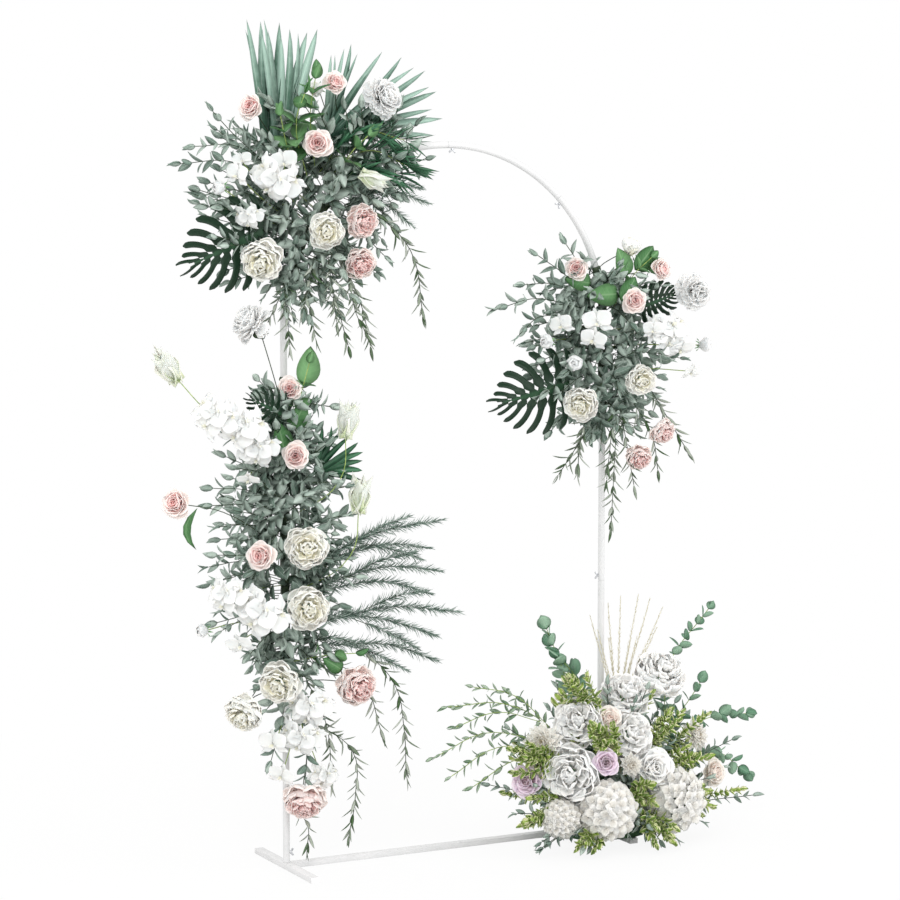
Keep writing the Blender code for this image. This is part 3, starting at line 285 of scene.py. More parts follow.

# %% [markdown]
# The colours were chosen until the render agreed with the photo. Silk has a colour for its
# heart and one for its rim; a leaf has a dark one, a light one and one for its veins.

# %% Colours
WHITE_COAT = mottled("white_powder_coat", (0.64, 0.645, 0.65), (0.685, 0.685, 0.69), 0.40, 9.0, 0.12)
CAP_PLASTIC = mottled("white_cap_plastic", (0.76, 0.76, 0.77), (0.80, 0.80, 0.81), 0.55, 30.0)
ZINC = mottled("zinc_plate", (0.50, 0.51, 0.53), (0.70, 0.71, 0.73), 0.36, 160.0, 0.2, 1.0)
STRAW = mottled("straw", (0.62, 0.58, 0.42), (0.78, 0.75, 0.62), 0.85, 90.0)
DARK_STEM = mottled("dark_stem", (0.02, 0.035, 0.02), (0.05, 0.08, 0.035), 0.6, 120.0)
GREEN_STEM = mottled("green_stem", (0.18, 0.28, 0.06), (0.34, 0.44, 0.12), 0.55, 120.0)
FOAM = mottled("floral_foam", (0.02, 0.06, 0.03), (0.05, 0.12, 0.05), 0.9, 60.0, 0.8, 0.0, 0.002)

PINK_ROSE = silk("pink_rose", (0.92, 0.38, 0.36), (0.97, 0.84, 0.79), 0.53)
BLUSH = silk("blush", (0.95, 0.54, 0.51), (0.98, 0.84, 0.79), 0.56)
CREAM = silk("cream", (0.98, 0.92, 0.64), (0.98, 0.97, 0.91), 0.42)
TULIP_SILK = silk("tulip_silk", (0.58, 0.67, 0.38), (0.87, 0.88, 0.77), 0.40)
WHITE = silk("white_silk", (0.84, 0.84, 0.80), (0.89, 0.89, 0.88), 0.25)
COOL_WHITE = silk("cool_white", (0.96, 0.95, 0.91), (0.98, 0.97, 0.95), 0.35)
IVORY = silk("ivory", (0.86, 0.76, 0.58), (0.90, 0.87, 0.80), 0.36)
LILAC = silk("lilac", (0.50, 0.30, 0.30), (0.86, 0.68, 0.82), 0.45)
PEACH = silk("peach", (0.90, 0.56, 0.45), (0.94, 0.85, 0.77), 0.42)
FLORET = silk("floret", (0.93, 0.88, 0.78), (0.97, 0.96, 0.93), 0.30)
LIP = silk("orchid_lip", (0.82, 0.80, 0.56), (0.88, 0.87, 0.80), 0.4)

SAGE = leafy("sage", (0.12, 0.19, 0.15), (0.46, 0.55, 0.49), (0.56, 0.64, 0.58), 7.0, 0.35,
             (0.56, 0.65, 0.59), 0.10, 0.75)
ROSE_LEAF = leafy("rose_leaf", (0.05, 0.16, 0.05), (0.16, 0.34, 0.14), (0.30, 0.46, 0.26), 8.0, 0.35)
MONSTERA = leafy("monstera", (0.004, 0.024, 0.009), (0.013, 0.060, 0.025), (0.05, 0.16, 0.07), 0.0, 0.3,
                 roughness=0.46)
# The palm blades get painted shade, darker at the base where the blades overlap and paler at the tip.
PALM = leafy("palm", (0.06, 0.15, 0.10), (0.34, 0.50, 0.42), (0.55, 0.68, 0.60), 0.0, 0.4, base_shade=0.8)
DARK_PALM = leafy("dark_palm", (0.008, 0.05, 0.022), (0.05, 0.17, 0.085), (0.12, 0.25, 0.15), 0.0, 0.3,
                  roughness=0.4, base_shade=0.3)
ROSEMARY = leafy("rosemary", (0.08, 0.14, 0.11), (0.32, 0.40, 0.35), (0.42, 0.48, 0.44), 0.0, 0.3,
                 roughness=0.75)
WILLOW = leafy("willow", (0.025, 0.08, 0.015), (0.42, 0.46, 0.40), (0.24, 0.33, 0.14), 0.0, 0.3)
EUCALYPTUS = leafy("eucalyptus", (0.09, 0.22, 0.13), (0.27, 0.42, 0.30), (0.40, 0.52, 0.40), 5.0, 0.25,
                   roughness=0.65)
BOX_LEAF = leafy("variegated", (0.10, 0.20, 0.03), (0.30, 0.42, 0.08), (0.3, 0.4, 0.1), 4.0, 0.2,
                 (0.86, 0.88, 0.52), 0.40)
GREY_SPRAY = leafy("grey_spray", (0.12, 0.22, 0.12), (0.40, 0.50, 0.38), (0.48, 0.56, 0.42), 0.0, 0.3)
print("materials:", len(bpy.data.materials))

# %% [markdown]
# ## The line of the frame
# Everything hangs on one line: up the left leg, round the head and down the right leg. A
# function gives the point at any distance along it, and the direction that leads out of the
# arch there.

# %% The line of the frame
HALF_WIDTH = 0.5
SPRING = 1.489
HEAD_LENGTH = math.pi * HALF_WIDTH
LINE_LENGTH = 2 * SPRING + HEAD_LENGTH
SPRING_RIGHT = SPRING + HEAD_LENGTH
TUBE_RADIUS = 0.0095
FRONT = Vector((0, -1, 0))


def centre_line(distance):
    """Point on the middle of the tube, and the direction out of the arch, at a distance."""
    if distance <= SPRING:
        return Vector((-HALF_WIDTH, 0, distance)), Vector((-1, 0, 0))
    if distance >= SPRING_RIGHT:
        return Vector((HALF_WIDTH, 0, LINE_LENGTH - distance)), Vector((1, 0, 0))
    angle = math.pi - (distance - SPRING) / HALF_WIDTH
    outward = Vector((math.cos(angle), 0, math.sin(angle)))
    return Vector((0, 0, SPRING)) + outward * HALF_WIDTH, outward


def nearest_distance(point):
    """How far along the line the place nearest to a point lies."""
    if point.z < SPRING:
        return point.z if point.x < 0 else LINE_LENGTH - point.z
    angle = math.atan2(point.z - SPRING, point.x)
    return SPRING + (math.pi - angle) * HALF_WIDTH


print("line of the frame:", round(LINE_LENGTH, 3), "m")

# %% [markdown]
# ## Making and finishing a piece
# A piece is made where it stands, so its object stays at the origin. Each is named, rides with
# the frame and stands for its solids.


# %% Tools for pieces
def to_object(name, data, finish=None):
    """A mesh or a curve as an object of the scene, with its material."""
    made = bpy.data.objects.new(name, data)
    scene.collection.objects.link(made)
    if finish:
        data.materials.append(finish)
    return made


def from_bmesh(name, bm, finish=None):
    """A bmesh as a smooth shaded object."""
    mesh = bpy.data.meshes.new(name)
    bm.to_mesh(mesh)
    bm.free()
    mesh.shade_smooth()
    return to_object(name, mesh, finish)


def applied(source):
    """The object's mesh with its modifiers worked in. The source is removed."""
    bpy.context.view_layer.update()
    graph = bpy.context.evaluated_depsgraph_get()
    mesh = bpy.data.meshes.new_from_object(source.evaluated_get(graph))
    name = source.name
    bpy.data.objects.remove(source, do_unlink=True)
    mesh.name = name
    return to_object(name, mesh)


def worked(source, kind, **settings):
    """The object with one modifier worked into its mesh."""
    modifier = source.modifiers.new(kind.lower(), kind)
    for key, value in settings.items():
        setattr(modifier, key, value)
    return applied(source)


def grown(source, tree, values):
    """The object with a Geometry Nodes tree worked in, its inputs given by name."""
    modifier = source.modifiers.new("grow", 'NODES')
    modifier.node_group = tree
    for item in tree.interface.items_tree:
        if item.in_out == 'INPUT' and item.name in values:
            value = values[item.name]
            modifier[item.identifier] = float(value) if item.socket_type == "NodeSocketFloat" else value
    return applied(source)


def joined(name, pieces):
    """Several mesh objects as one."""
    first = pieces[0]
    if len(pieces) > 1:
        with bpy.context.temp_override(active_object=first, selected_objects=pieces,
                                       selected_editable_objects=pieces):
            bpy.ops.object.join()
    first.name = name
    first.data.name = name
    return first


def curves(name, runs):
    """A curve object with one smooth spline through each list of points."""
    data = bpy.data.curves.new(name, 'CURVE')
    data.dimensions = '3D'
    data.resolution_u = 6
    for run in runs:
        points = data.splines.new('BEZIER').bezier_points
        points.add(len(run) - 1)
        for point, place in zip(points, run):
            point.co = place
            point.handle_left_type = point.handle_right_type = 'AUTO'
    return to_object(name, data)


def finish_piece(piece, slot, *nodes):
    """The finished piece stands for its solids and rides with the frame. Its slot is not used."""
    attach(piece, "root")
    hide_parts(*nodes)
    print(f"{piece.name}: {sum(len(face.vertices) - 2 for face in piece.data.polygons)} triangles")


print("piece tools ready")

# %% [markdown]
# ## Tubes, feet and screws
# Each tube is a ring of points carried along the line of the frame. Its end is turned in a
# little, so that every joint shows as a fine dark line, and its upper neck slides into the
# next tube. The box tubes of the feet and the rail are bevelled like real rolled steel.

# %% Tubes of the legs and the head
TUBE_SIDES = 28
NECK_RADIUS = 0.0079
NECK_LENGTH = 0.05
NECK_STEPS = 4
NECK_WALL = 0.0011
END_WALL = 0.0012
END_EDGE = 0.0004
TUBE_STEP = 0.02
LEG_JOINT = 0.737
FOOT_TOP = 0.015
SEGMENT = HEAD_LENGTH / 4
GAP = 0.0003


def ring(bm, distance, sides, radius_at):
    """Points round the line at a distance along it, with the radius that belongs to each angle."""
    middle, outward = centre_line(distance)
    angles = [2 * math.pi * side / sides for side in range(sides)]
    return [bm.verts.new(middle + (outward * math.cos(angle) + FRONT * math.sin(angle)) * radius_at(angle))
            for angle in angles]


def shell(name, bm, rings, finish):
    """Faces from each ring to the next, and from the last to the first."""
    for near, far in zip(rings, rings[1:] + rings[:1]):
        for side in range(len(near)):
            following = (side + 1) % len(near)
            bm.faces.new((near[side], near[following], far[following], far[side]))
    bm.normal_update()
    bmesh.ops.recalc_face_normals(bm, faces=bm.faces)
    return from_bmesh(name, bm, finish)


def tube(name, start, stop, direction=1, neck=True):
    """One tube along the line from start to stop, with a neck beyond its far end."""
    length = abs(stop - start)
    # The outline, as distances along and radii: end, wall, neck, and back along the inside.
    outline = [(0.0, TUBE_RADIUS - END_WALL), (0.0, TUBE_RADIUS - END_EDGE), (0.0005, TUBE_RADIUS)]
    steps = max(2, int(length / TUBE_STEP))
    outline += [(0.002 + (length - 0.006) * i / steps, TUBE_RADIUS) for i in range(steps + 1)]
    if neck:
        outline += [(length - 0.0015, TUBE_RADIUS), (length - 0.0004, NECK_RADIUS + 0.0006),
                    (length + 0.0006, NECK_RADIUS)]
        outline += [(length + NECK_LENGTH * i / NECK_STEPS, NECK_RADIUS) for i in range(1, NECK_STEPS + 1)]
    else:
        outline += [(length - 0.0005, TUBE_RADIUS), (length, TUBE_RADIUS - END_EDGE)]
    outer_length = outline[-1][0]
    outline += [(outer_length * (1 - i / steps), NECK_RADIUS - NECK_WALL) for i in range(steps + 1)]
    bm = bmesh.new()
    rings = [ring(bm, start + direction * along, TUBE_SIDES, lambda angle: radius)
             for along, radius in outline]
    made = shell("tube_" + name, bm, rings, WHITE_COAT)
    made.data.set_sharp_from_angle(angle=math.radians(40))
    finish_piece(made, "white_powder_coat", name)


tube("leg_left_lower", FOOT_TOP + GAP, LEG_JOINT - GAP)
tube("leg_left_upper", LEG_JOINT, SPRING - GAP)
tube("leg_right_lower", LINE_LENGTH - FOOT_TOP - GAP, LINE_LENGTH - LEG_JOINT + GAP, -1)
tube("leg_right_upper", LINE_LENGTH - LEG_JOINT, SPRING_RIGHT + GAP, -1)
tube("head_left_lower", SPRING, SPRING + SEGMENT - GAP)
tube("head_left_upper", SPRING + SEGMENT, SPRING + 2 * SEGMENT - GAP)
tube("head_right_upper", SPRING + 2 * SEGMENT, SPRING + 3 * SEGMENT - GAP)
tube("head_right_lower", SPRING + 3 * SEGMENT, SPRING_RIGHT - GAP, neck=False)

# %% [markdown]
# The box tubes and their plugs keep the shape of their solids and get the same coat, softened
# along the edges with a bevel of a copy. The wing screws keep their solids too.


# %% Feet, rail, caps and screws
def softened(name, finish, slot, width, segments=3):
    """A copy of a solid with its edges rounded."""
    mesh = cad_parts[name].data.copy()
    mesh.materials.clear()
    bm = bmesh.new()
    bm.from_mesh(mesh)
    bmesh.ops.remove_doubles(bm, verts=bm.verts, dist=0.00001)
    bmesh.ops.dissolve_limit(bm, angle_limit=math.radians(1), verts=bm.verts, edges=bm.edges)
    bm.to_mesh(mesh)
    bm.free()
    made = worked(to_object("soft_" + name, mesh, finish), 'BEVEL', width=width, segments=segments,
                  limit_method='ANGLE', angle_limit=math.radians(30), use_clamp_overlap=True)
    made.data.shade_smooth()
    made.data.set_sharp_from_angle(angle=math.radians(35))
    finish_piece(made, slot, name)


for label in ("foot_left", "foot_right", "ground_rail"):
    softened(label, WHITE_COAT, "white_powder_coat", 0.0009)
for label in ("left_front", "left_back", "right_front", "right_back"):
    softened("foot_cap_" + label, CAP_PLASTIC, "white_plastic", 0.0006)
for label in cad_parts:
    if label.startswith("screw_"):
        softened(label, ZINC, "zinc_plated_steel", 0.0004, 2)

# %% [markdown]
# ## Leaves and petals as patterns
# A leaf is a thin closed lens: a few sections from base to tip, each with two edges, a raised
# middle and a lowered back. It grows along +Z and its upper side faces -X. A petal is a grid
# that is bent by a formula and then given a wall. Both carry a UV map for their finish.


# %% Patterns
def leaf_pattern(name, width, shape, blunt, fold, curl, sections=6, thickness=0.02):
    """A leaf of length 1. shape above 1 moves its widest place to the tip."""
    bm = bmesh.new()
    uv = bm.loops.layers.uv.new("UVMap")
    places = {}
    rows = []
    for i in range(sections + 1):
        v = i / sections
        half = width / 2 * max(math.sin(math.pi * v ** shape), 0) ** blunt
        back = curl * v * v
        middle = bm.verts.new((back, 0, v))
        places[middle] = (0.5, v)
        if i in (0, sections):
            rows.append((middle,) * 4)
            continue
        edges = []
        for sign in (-1, 1):
            edge = bm.verts.new((back - fold * half, sign * half, v))
            places[edge] = (0.5 + sign / 2, v)
            edges.append(edge)
        under = bm.verts.new((back + thickness, 0, v))
        places[under] = (0.5, v)
        rows.append((edges[0], middle, edges[1], under))
    for near, far in zip(rows, rows[1:]):
        for k in range(4):
            corners = [near[k], near[(k + 1) % 4], far[(k + 1) % 4], far[k]]
            corners = [v for i, v in enumerate(corners) if v not in corners[:i]]
            face = bm.faces.new(corners)
            for loop in face.loops:
                loop[uv].uv = places[loop.vert]
    bm.normal_update()
    bmesh.ops.recalc_face_normals(bm, faces=bm.faces)
    return from_bmesh(name, bm)


def petal_pattern(name, width, cup, belly, curl, ruffle, waves, neck, blunt, arc, point, columns, rows,
                  thickness=0.02):
    """A petal of length 1, cupped round the axis that lies on its -X side. arc rounds its rim
    and point draws out its tip."""
    bm = bmesh.new()
    bmesh.ops.create_grid(bm, x_segments=columns, y_segments=rows, size=1)
    uv = bm.loops.layers.uv.new("UVMap")
    for face in bm.faces:
        for loop in face.loops:
            loop[uv].uv = ((loop.vert.co.x + 1) / 2, (loop.vert.co.y + 1) / 2)
    for vert in bm.verts:
        u, v = vert.co.x, (vert.co.y + 1) / 2
        spread = neck + (1 - neck) * math.sin(math.pi / 2 * min(1, v * 1.35)) ** 1.2
        rim = max(0, (v - 0.55) / 0.45)
        half = width / 2 * spread * (1 - (1 - blunt) * rim ** 2.2)
        length = v * (1 - arc * u * u * (0.4 + 0.6 * v)) + point * (1 - abs(u)) ** 2 * v ** 4
        wave = ruffle * math.sin(waves * math.pi * u + 0.7) * v ** 2.5
        bowl = -cup * u * u * width / 2 + belly * math.sin(math.pi * v * 0.8)
        x = bowl + curl * max(0, v - 0.6) ** 2 * 6 + wave
        vert.co = (x, u * half, length)
    return worked(from_bmesh(name, bm), 'SOLIDIFY', thickness=thickness, offset=0.0, use_even_offset=False)


print("makers of patterns ready")

# %% [markdown]
# The kinds of leaves differ in a few numbers only, so they stand in a table, and so do the
# kinds of petals. All have a length of 1, and their other sizes are shares of that.

# %% Kinds of leaves and petals
# Columns: width, shape, blunt, fold, curl, sections, thickness.
LEAVES = {name: leaf_pattern(name, *sizes) for name, sizes in {
    "oval": (0.46, 0.85, 0.80, 0.30, 0.20, 5),
    "round": (0.84, 0.9, 0.6, 0.15, 0.10),
    "broad": (0.68, 0.8, 0.75, 0.3, 0.25, 8),
    "lance": (0.21, 0.9, 0.9, 0.35, 0.12, 5),
    "needle": (0.11, 0.9, 0.7, 0.2, 0.15, 3),
    "small": (0.60, 0.9, 0.8, 0.3, 0.1, 4),
    "slender": (0.36, 0.9, 0.9, 0.3, 0.15, 4),
    "grain": (0.22, 0.9, 0.9, 0.1, 0.1, 3),
    "blade": (0.052, 0.75, 0.55, 0.75, 0.05, 9, 0.003)}.items()}

# Columns: width, cup, belly, curl, ruffle, waves, neck, blunt, arc, point, columns, rows, thickness.
PETALS = {name: petal_pattern(name, *sizes) for name, sizes in {
    "rolled": (1.30, 0.95, 0.16, 0.08, 0.01, 2.0, 0.35, 0.90, 0.22, 0.0, 7, 5),
    "broad": (1.35, 0.55, 0.18, 0.16, 0.02, 2.0, 0.35, 0.85, 0.22, 0.0, 7, 6),
    "ruffled": (1.15, 0.45, 0.24, -0.02, 0.09, 1.9, 0.35, 0.95, 0.22, 0.0, 6, 4),
    "cupped": (1.25, 0.60, 0.34, -0.10, 0.06, 1.9, 0.35, 0.92, 0.22, 0.0, 6, 5),
    "frilled": (1.10, 0.25, 0.10, 0.06, 0.07, 5.0, 0.20, 0.97, 0.22, 0.0, 9, 5),
    "pointed": (0.60, 0.45, 0.14, 0.04, 0.0, 5.0, 0.35, 0.45, 0.22, 0.05, 4, 5),
    "tulip": (0.66, 0.80, 0.17, 0.11, 0.0, 5.0, 0.35, 0.08, 0.22, 0.06, 6, 9, 0.01),
    "sepal": (0.26, 0.30, 0.06, 0.30, 0.0, 5.0, 0.35, 0.10, 0.22, 0.0, 2, 5),
    "wide": (1.10, 0.10, 0.05, 0.02, 0.03, 2.0, 0.25, 0.75, 0.30, 0.0, 6, 7),
    "slim": (0.60, 0.12, 0.04, 0.04, 0.01, 5.0, 0.30, 0.50, 0.30, 0.0, 4, 6),
    "floret": (1.05, 0.16, 0.08, 0.02, 0.0, 5.0, 0.30, 0.70, 0.34, 0.0, 3, 3, 0.006)}.items()}
print("leaves:", ", ".join(LEAVES), "and petals:", ", ".join(PETALS))

# %% [markdown]
# ## Heads from spirals
# A flower head sets its petals on a spiral: each one turned on from the last by the golden
# angle of 137.5 degrees, standing nearly upright in the heart and leaning out further down. A
# Geometry Nodes tree does this for every kind of head. Only the petal and the numbers change.

# %% The spiral head tree
GOLDEN_ANGLE = 137.5


def chance(index, seed, shift, low, high):
    """A random number for each index, from a seed and a shift of its own."""
    inputs = {2: low, 3: high, "ID": index, "Seed": seed + float(shift)}
    return node(index.tree, "FunctionNodeRandomValue", inputs, 1)


def stored(geometry, name, value, domain):
    """The geometry with a number kept on it by name."""
    return node(geometry.tree, "GeometryNodeStoreNamedAttribute",
                {"Geometry": geometry, "Name": name, "Value": value}, domain=domain, data_type='FLOAT')


def coated(geometry, finish):
    """The geometry with one material."""
    return node(geometry.tree, "GeometryNodeSetMaterial", {"Geometry": geometry, "Material": finish})


def instanced(points, pattern, rotation, scale):
    """The pattern at each point, turned and scaled."""
    shape = node(points.tree, "GeometryNodeObjectInfo", {"Object": pattern, "As Instance": True}, "Geometry")
    return node(points.tree, "GeometryNodeInstanceOnPoints",
                {"Points": points, "Instance": shape, "Rotation": rotation, "Scale": scale})


def combined(x, y, z):
    """Three numbers as a vector."""
    tree = next(part.tree for part in (x, y, z) if isinstance(part, Value))
    return node(tree, "ShaderNodeCombineXYZ", {0: x, 1: y, 2: z})


def turning(euler):
    """A vector of angles as a rotation."""
    return node(euler.tree, "FunctionNodeEulerToRotation", {0: euler})


def spiral_tree():
    """Petals on a spiral over a rounded base, from the heart outwards."""
    tree, given, result = new_group("spiral_head", 'GeometryNodeTree', {
        "Geometry": "Geometry", "Petal": "Object", "Count": 20, "Step": GOLDEN_ANGLE, "Reach": 0.1,
        "Height": 0.1, "First angle": 10.0, "Last angle": 90.0, "Ease": 1.0, "First tilt": 3.0,
        "Last tilt": 75.0, "First size": 0.6, "Last size": 1.0, "Jitter": 6.0, "First layer": 0.0,
        "Last layer": 1.0, "Seed": 0, "Finish": "Material"}, {"Geometry": "Geometry"})
    index = node(tree, "GeometryNodeInputIndex")
    share = index / (given["Count"] - 1.0).larger(1.0)

    def across(what, factor):
        return factor.between(given["First " + what], given["Last " + what])

    def shake(shift):
        return given["Jitter"].radians() * chance(index, given["Seed"], shift, -1.0, 1.0)

    turn = (index * given["Step"]).radians()
    lean = across("angle", share ** given["Ease"]).radians()
    out = given["Reach"] * lean.sine()
    place = combined(out * turn.cosine(), out * turn.sine(), given["Height"] * lean.cosine())
    points = node(tree, "GeometryNodePoints", {"Count": given["Count"], "Position": place})
    euler = combined(shake(1), across("tilt", share).radians() + shake(2), turn + shake(3))
    size = across("size", share) * chance(index, given["Seed"], 4, 0.93, 1.07)
    placed = instanced(points, given["Petal"], turning(euler), size)
    placed = stored(placed, "layer", across("layer", share), 'INSTANCE')
    placed = stored(placed, "tint", chance(index, given["Seed"], 5, 0.0, 1.0), 'INSTANCE')
    solid = node(tree, "GeometryNodeRealizeInstances", {0: placed})
    link(result, Geometry=coated(solid, given["Finish"]))
    return tree


SPIRAL = spiral_tree()


def spiral(petal, finish, count, reach, tilts, sizes, angles=(10, 90), height=0, jitter=6, layers=(0, 1),
           seed=0, step=GOLDEN_ANGLE, ease=1):
    """A ring or a spiral of petals as an object. A pair holds for the first petal and the last."""
    values = {"Petal": PETALS[petal] if isinstance(petal, str) else petal, "Finish": finish, "Count": count,
              "Reach": reach, "Height": height, "Jitter": jitter, "Seed": seed, "Step": step, "Ease": ease}
    for what, (first, last) in {"angle": angles, "tilt": tilts, "size": sizes, "layer": layers}.items():
        values["First " + what], values["Last " + what] = first, last
    return grown(to_object("petals", bpy.data.meshes.new("petals")), SPIRAL, values)


print("spiral tree:", len(SPIRAL.nodes), "nodes")

# %% [markdown]
# Each kind of head is made once, with a radius of 1 and its face towards +Z, and used in
# several places and sizes. A rose hides its heart behind broad rolled petals, a peony is a
# ball of ruffled ones, a carnation is frilled, and a dahlia has narrow pointed petals. After the
# petal and its finish, each spiral's numbers are: how many petals, their reach from the middle,
# the tilt and the size of the first and the last, the angles that they span on the base, its
# height, the jitter in degrees, the depth of colour, and the seed.

# %% Kinds of heads
RIM = (90, 90)
# An orchid hangs upright, so its turn about its own axis stays between two angles, in radians.
ORCHID_SPIN = (1.2, 1.9)


def moved(piece, height, scale=1.0, turn=0.0):
    """The piece's mesh scaled, turned about Z and raised."""
    piece.data.transform(Matrix.Translation((0, 0, height)) @ Matrix.Rotation(math.radians(turn), 4, 'Z')
                         @ Matrix.Scale(scale, 4))
    return piece


def calyx(height, scale=0.5):
    """The green cup and sepals behind a head."""
    return moved(spiral("sepal", ROSE_LEAF, 5, 0.05, (100, 108), (1, 1), step=72), height, scale)


def rose(name, finish, open_to, outer, seed):
    """A rose: a rolled heart inside broad petals with turned rims."""
    heart = spiral("rolled", finish, 10, 0.10, (-9, 16), (0.66, 0.86), (20, 90), 0, 2, (0, 0.45), seed)
    rim = spiral("broad", finish, outer, 0.17, (20, open_to), (0.84, 0.92), RIM, 0, 4, (0.5, 1), seed + 40)
    return joined(name, [moved(heart, -0.42), moved(rim, -0.46, 1.0, 60.0), calyx(-0.44)])


def peony(name, finish, inner, seed):
    """A peony: a fluffy dome of ruffled petals over rows of cupped ones."""
    heart = spiral("ruffled", finish, inner, 0.50, (-24, 46), (0.38, 0.62), (0, 92), 0.44, 27, (0, 0.6), seed)
    ball = spiral("cupped", finish, 14, 0.44, (18, 58), (0.78, 0.82), RIM, 0, 13, (0.5, 1), seed + 40)
    rim = spiral("cupped", finish, 8, 0.38, (64, 90), (0.70, 0.76), RIM, 0, 12, (0.8, 1), seed + 80)
    return joined(name, [moved(heart, -0.08), moved(ball, -0.44), moved(rim, -0.40), calyx(-0.42)])


def carnation(name, finish):
    """A carnation: many frilled petals in a ragged ball, in a dark cup."""
    head = spiral("frilled", finish, 44, 0.32, (-8, 98), (0.80, 0.74), (5, 100), 0.34, 22, seed=3)
    cup = spiral("rolled", DARK_STEM, 5, 0.12, (-4, 0), (0.62, 0.62), RIM, 0, 2)
    return joined(name, [moved(head, -0.12), moved(cup, -0.78)])


def dahlia(name, finish):
    """A dahlia: narrow pointed petals in close rows."""
    head = spiral("pointed", finish, 56, 0.12, (8, 92), (0.42, 0.92), (5, 90), 0.04, 5, seed=4)
    return joined(name, [moved(head, -0.15)])


def tulip(name, finish):
    """A pointed tulip: six petals closed round each other, their tips turned out a little."""
    inner = spiral("tulip", finish, 3, 0.20, (-5, -5), (3, 3), RIM, 0, 2, (0, 0.4), 5, 120)
    outer = spiral("tulip", finish, 3, 0.26, (-1, 1), (3, 3.2), RIM, 0, 3, (0.3, 1), 6, 120)
    return joined(name, [moved(inner, -1.15), moved(outer, -1.2, 1.0, 60.0)])


def bud(name, finish):
    """A plump bud: cupped petals closed over each other."""
    head = spiral("cupped", finish, 7, 0.30, (-24, 2), (1.15, 1.35), (60, 90), 0, 4, (0, 0.9), 6)
    return joined(name, [moved(head, -0.72), calyx(-0.70, 0.8)])


def hydrangea(name, finish):
    """A hydrangea: four-petalled florets all over a dome."""
    floret = spiral("floret", finish, 4, 0.02, (82, 86), (0.62, 0.62), RIM, 0, 9, step=90)
    head = spiral(floret, finish, 76, 0.90, (3, 114), (0.46, 0.46), (3, 118), 0.84, 13, seed=7, ease=0.56)
    bpy.data.objects.remove(floret, do_unlink=True)
    return joined(name, [head])


def orchid(name, finish):
    """A moth orchid: three slim sepals, two wide petals and a small lip."""
    parts = [spiral("slim", finish, 3, 0.03, (84, 84), (0.95, 0.95), jitter=3, step=120)]
    for turn in (58.0, -58.0):
        wing = spiral("wide", finish, 1, 0.02, (80, 80), (0.98, 0.98), height=0.1, jitter=0)
        parts.append(moved(wing, 0.04, 1.0, turn))
    lip = spiral("slim", LIP, 3, 0.02, (40, 48), (0.34, 0.36), height=0.1, jitter=0, step=50)
    parts.append(moved(lip, 0.05, 1.0, 130.0))
    return joined(name, parts)


print("makers of heads ready")

# %% [markdown]
# Moth orchids grow in clusters, so a cluster is made like a head. The table names every kind
# with its silk, and for roses and peonies also how they open, their petals and their seed.


# %% All heads
def clustered(name, single, count, reach, size, seed):
    """Several flowers close together as one head."""
    dice = random.Random(seed)
    pieces = []
    for i in range(count):
        angle = i * 2.4 + dice.uniform(-0.3, 0.3)
        off = reach * math.sqrt((i + 0.3) / count)
        rise = 0.25 - 0.5 * off + dice.uniform(-0.1, 0.1)
        place = Vector((off * math.cos(angle), off * math.sin(angle), rise))
        lean = Vector((0.7 * off * math.cos(angle), 0.7 * off * math.sin(angle), 1)).to_track_quat('Z', 'Y')
        mesh = single.data.copy()
        mesh.transform(Matrix.Translation(place) @ lean.to_matrix().to_4x4()
                       @ Matrix.Rotation(dice.uniform(*ORCHID_SPIN), 4, 'Z') @ Matrix.Scale(size, 4))
        pieces.append(to_object(name, mesh))
    return joined(name, pieces)


HEADS = {name: make(name, *details) for name, (make, *details) in {
    "pink rose": (rose, PINK_ROSE, 58, 12, 1), "blush rose": (rose, PEACH, 64, 12, 11),
    "white rose": (rose, COOL_WHITE, 78, 15, 13), "lilac rose": (rose, LILAC, 60, 11, 14),
    "peach rose": (rose, PEACH, 74, 13, 15), "blush peony": (peony, BLUSH, 34, 12),
    "cream peony": (peony, CREAM, 36, 2), "full white rose": (peony, COOL_WHITE, 36, 16),
    "white carnation": (carnation, WHITE), "white tulip": (tulip, TULIP_SILK), "white bud": (bud, WHITE),
    "pale bud": (bud, CREAM), "ivory dahlia": (dahlia, IVORY), "hydrangea": (hydrangea, FLORET),
    "orchid": (orchid, WHITE)}.items()}
HEADS["orchid cluster"] = clustered("orchid cluster", HEADS["orchid"], 4, 0.80, 0.72, 51)
print("heads:", ", ".join(HEADS))

# %% [markdown]
# ## Leaves along stems
# Greenery is a stem with leaves at even steps, set round it by turns, smaller towards the tip.
# Another tree does that for any bundle of stems: sage, rosemary, willow, eucalyptus, grass.


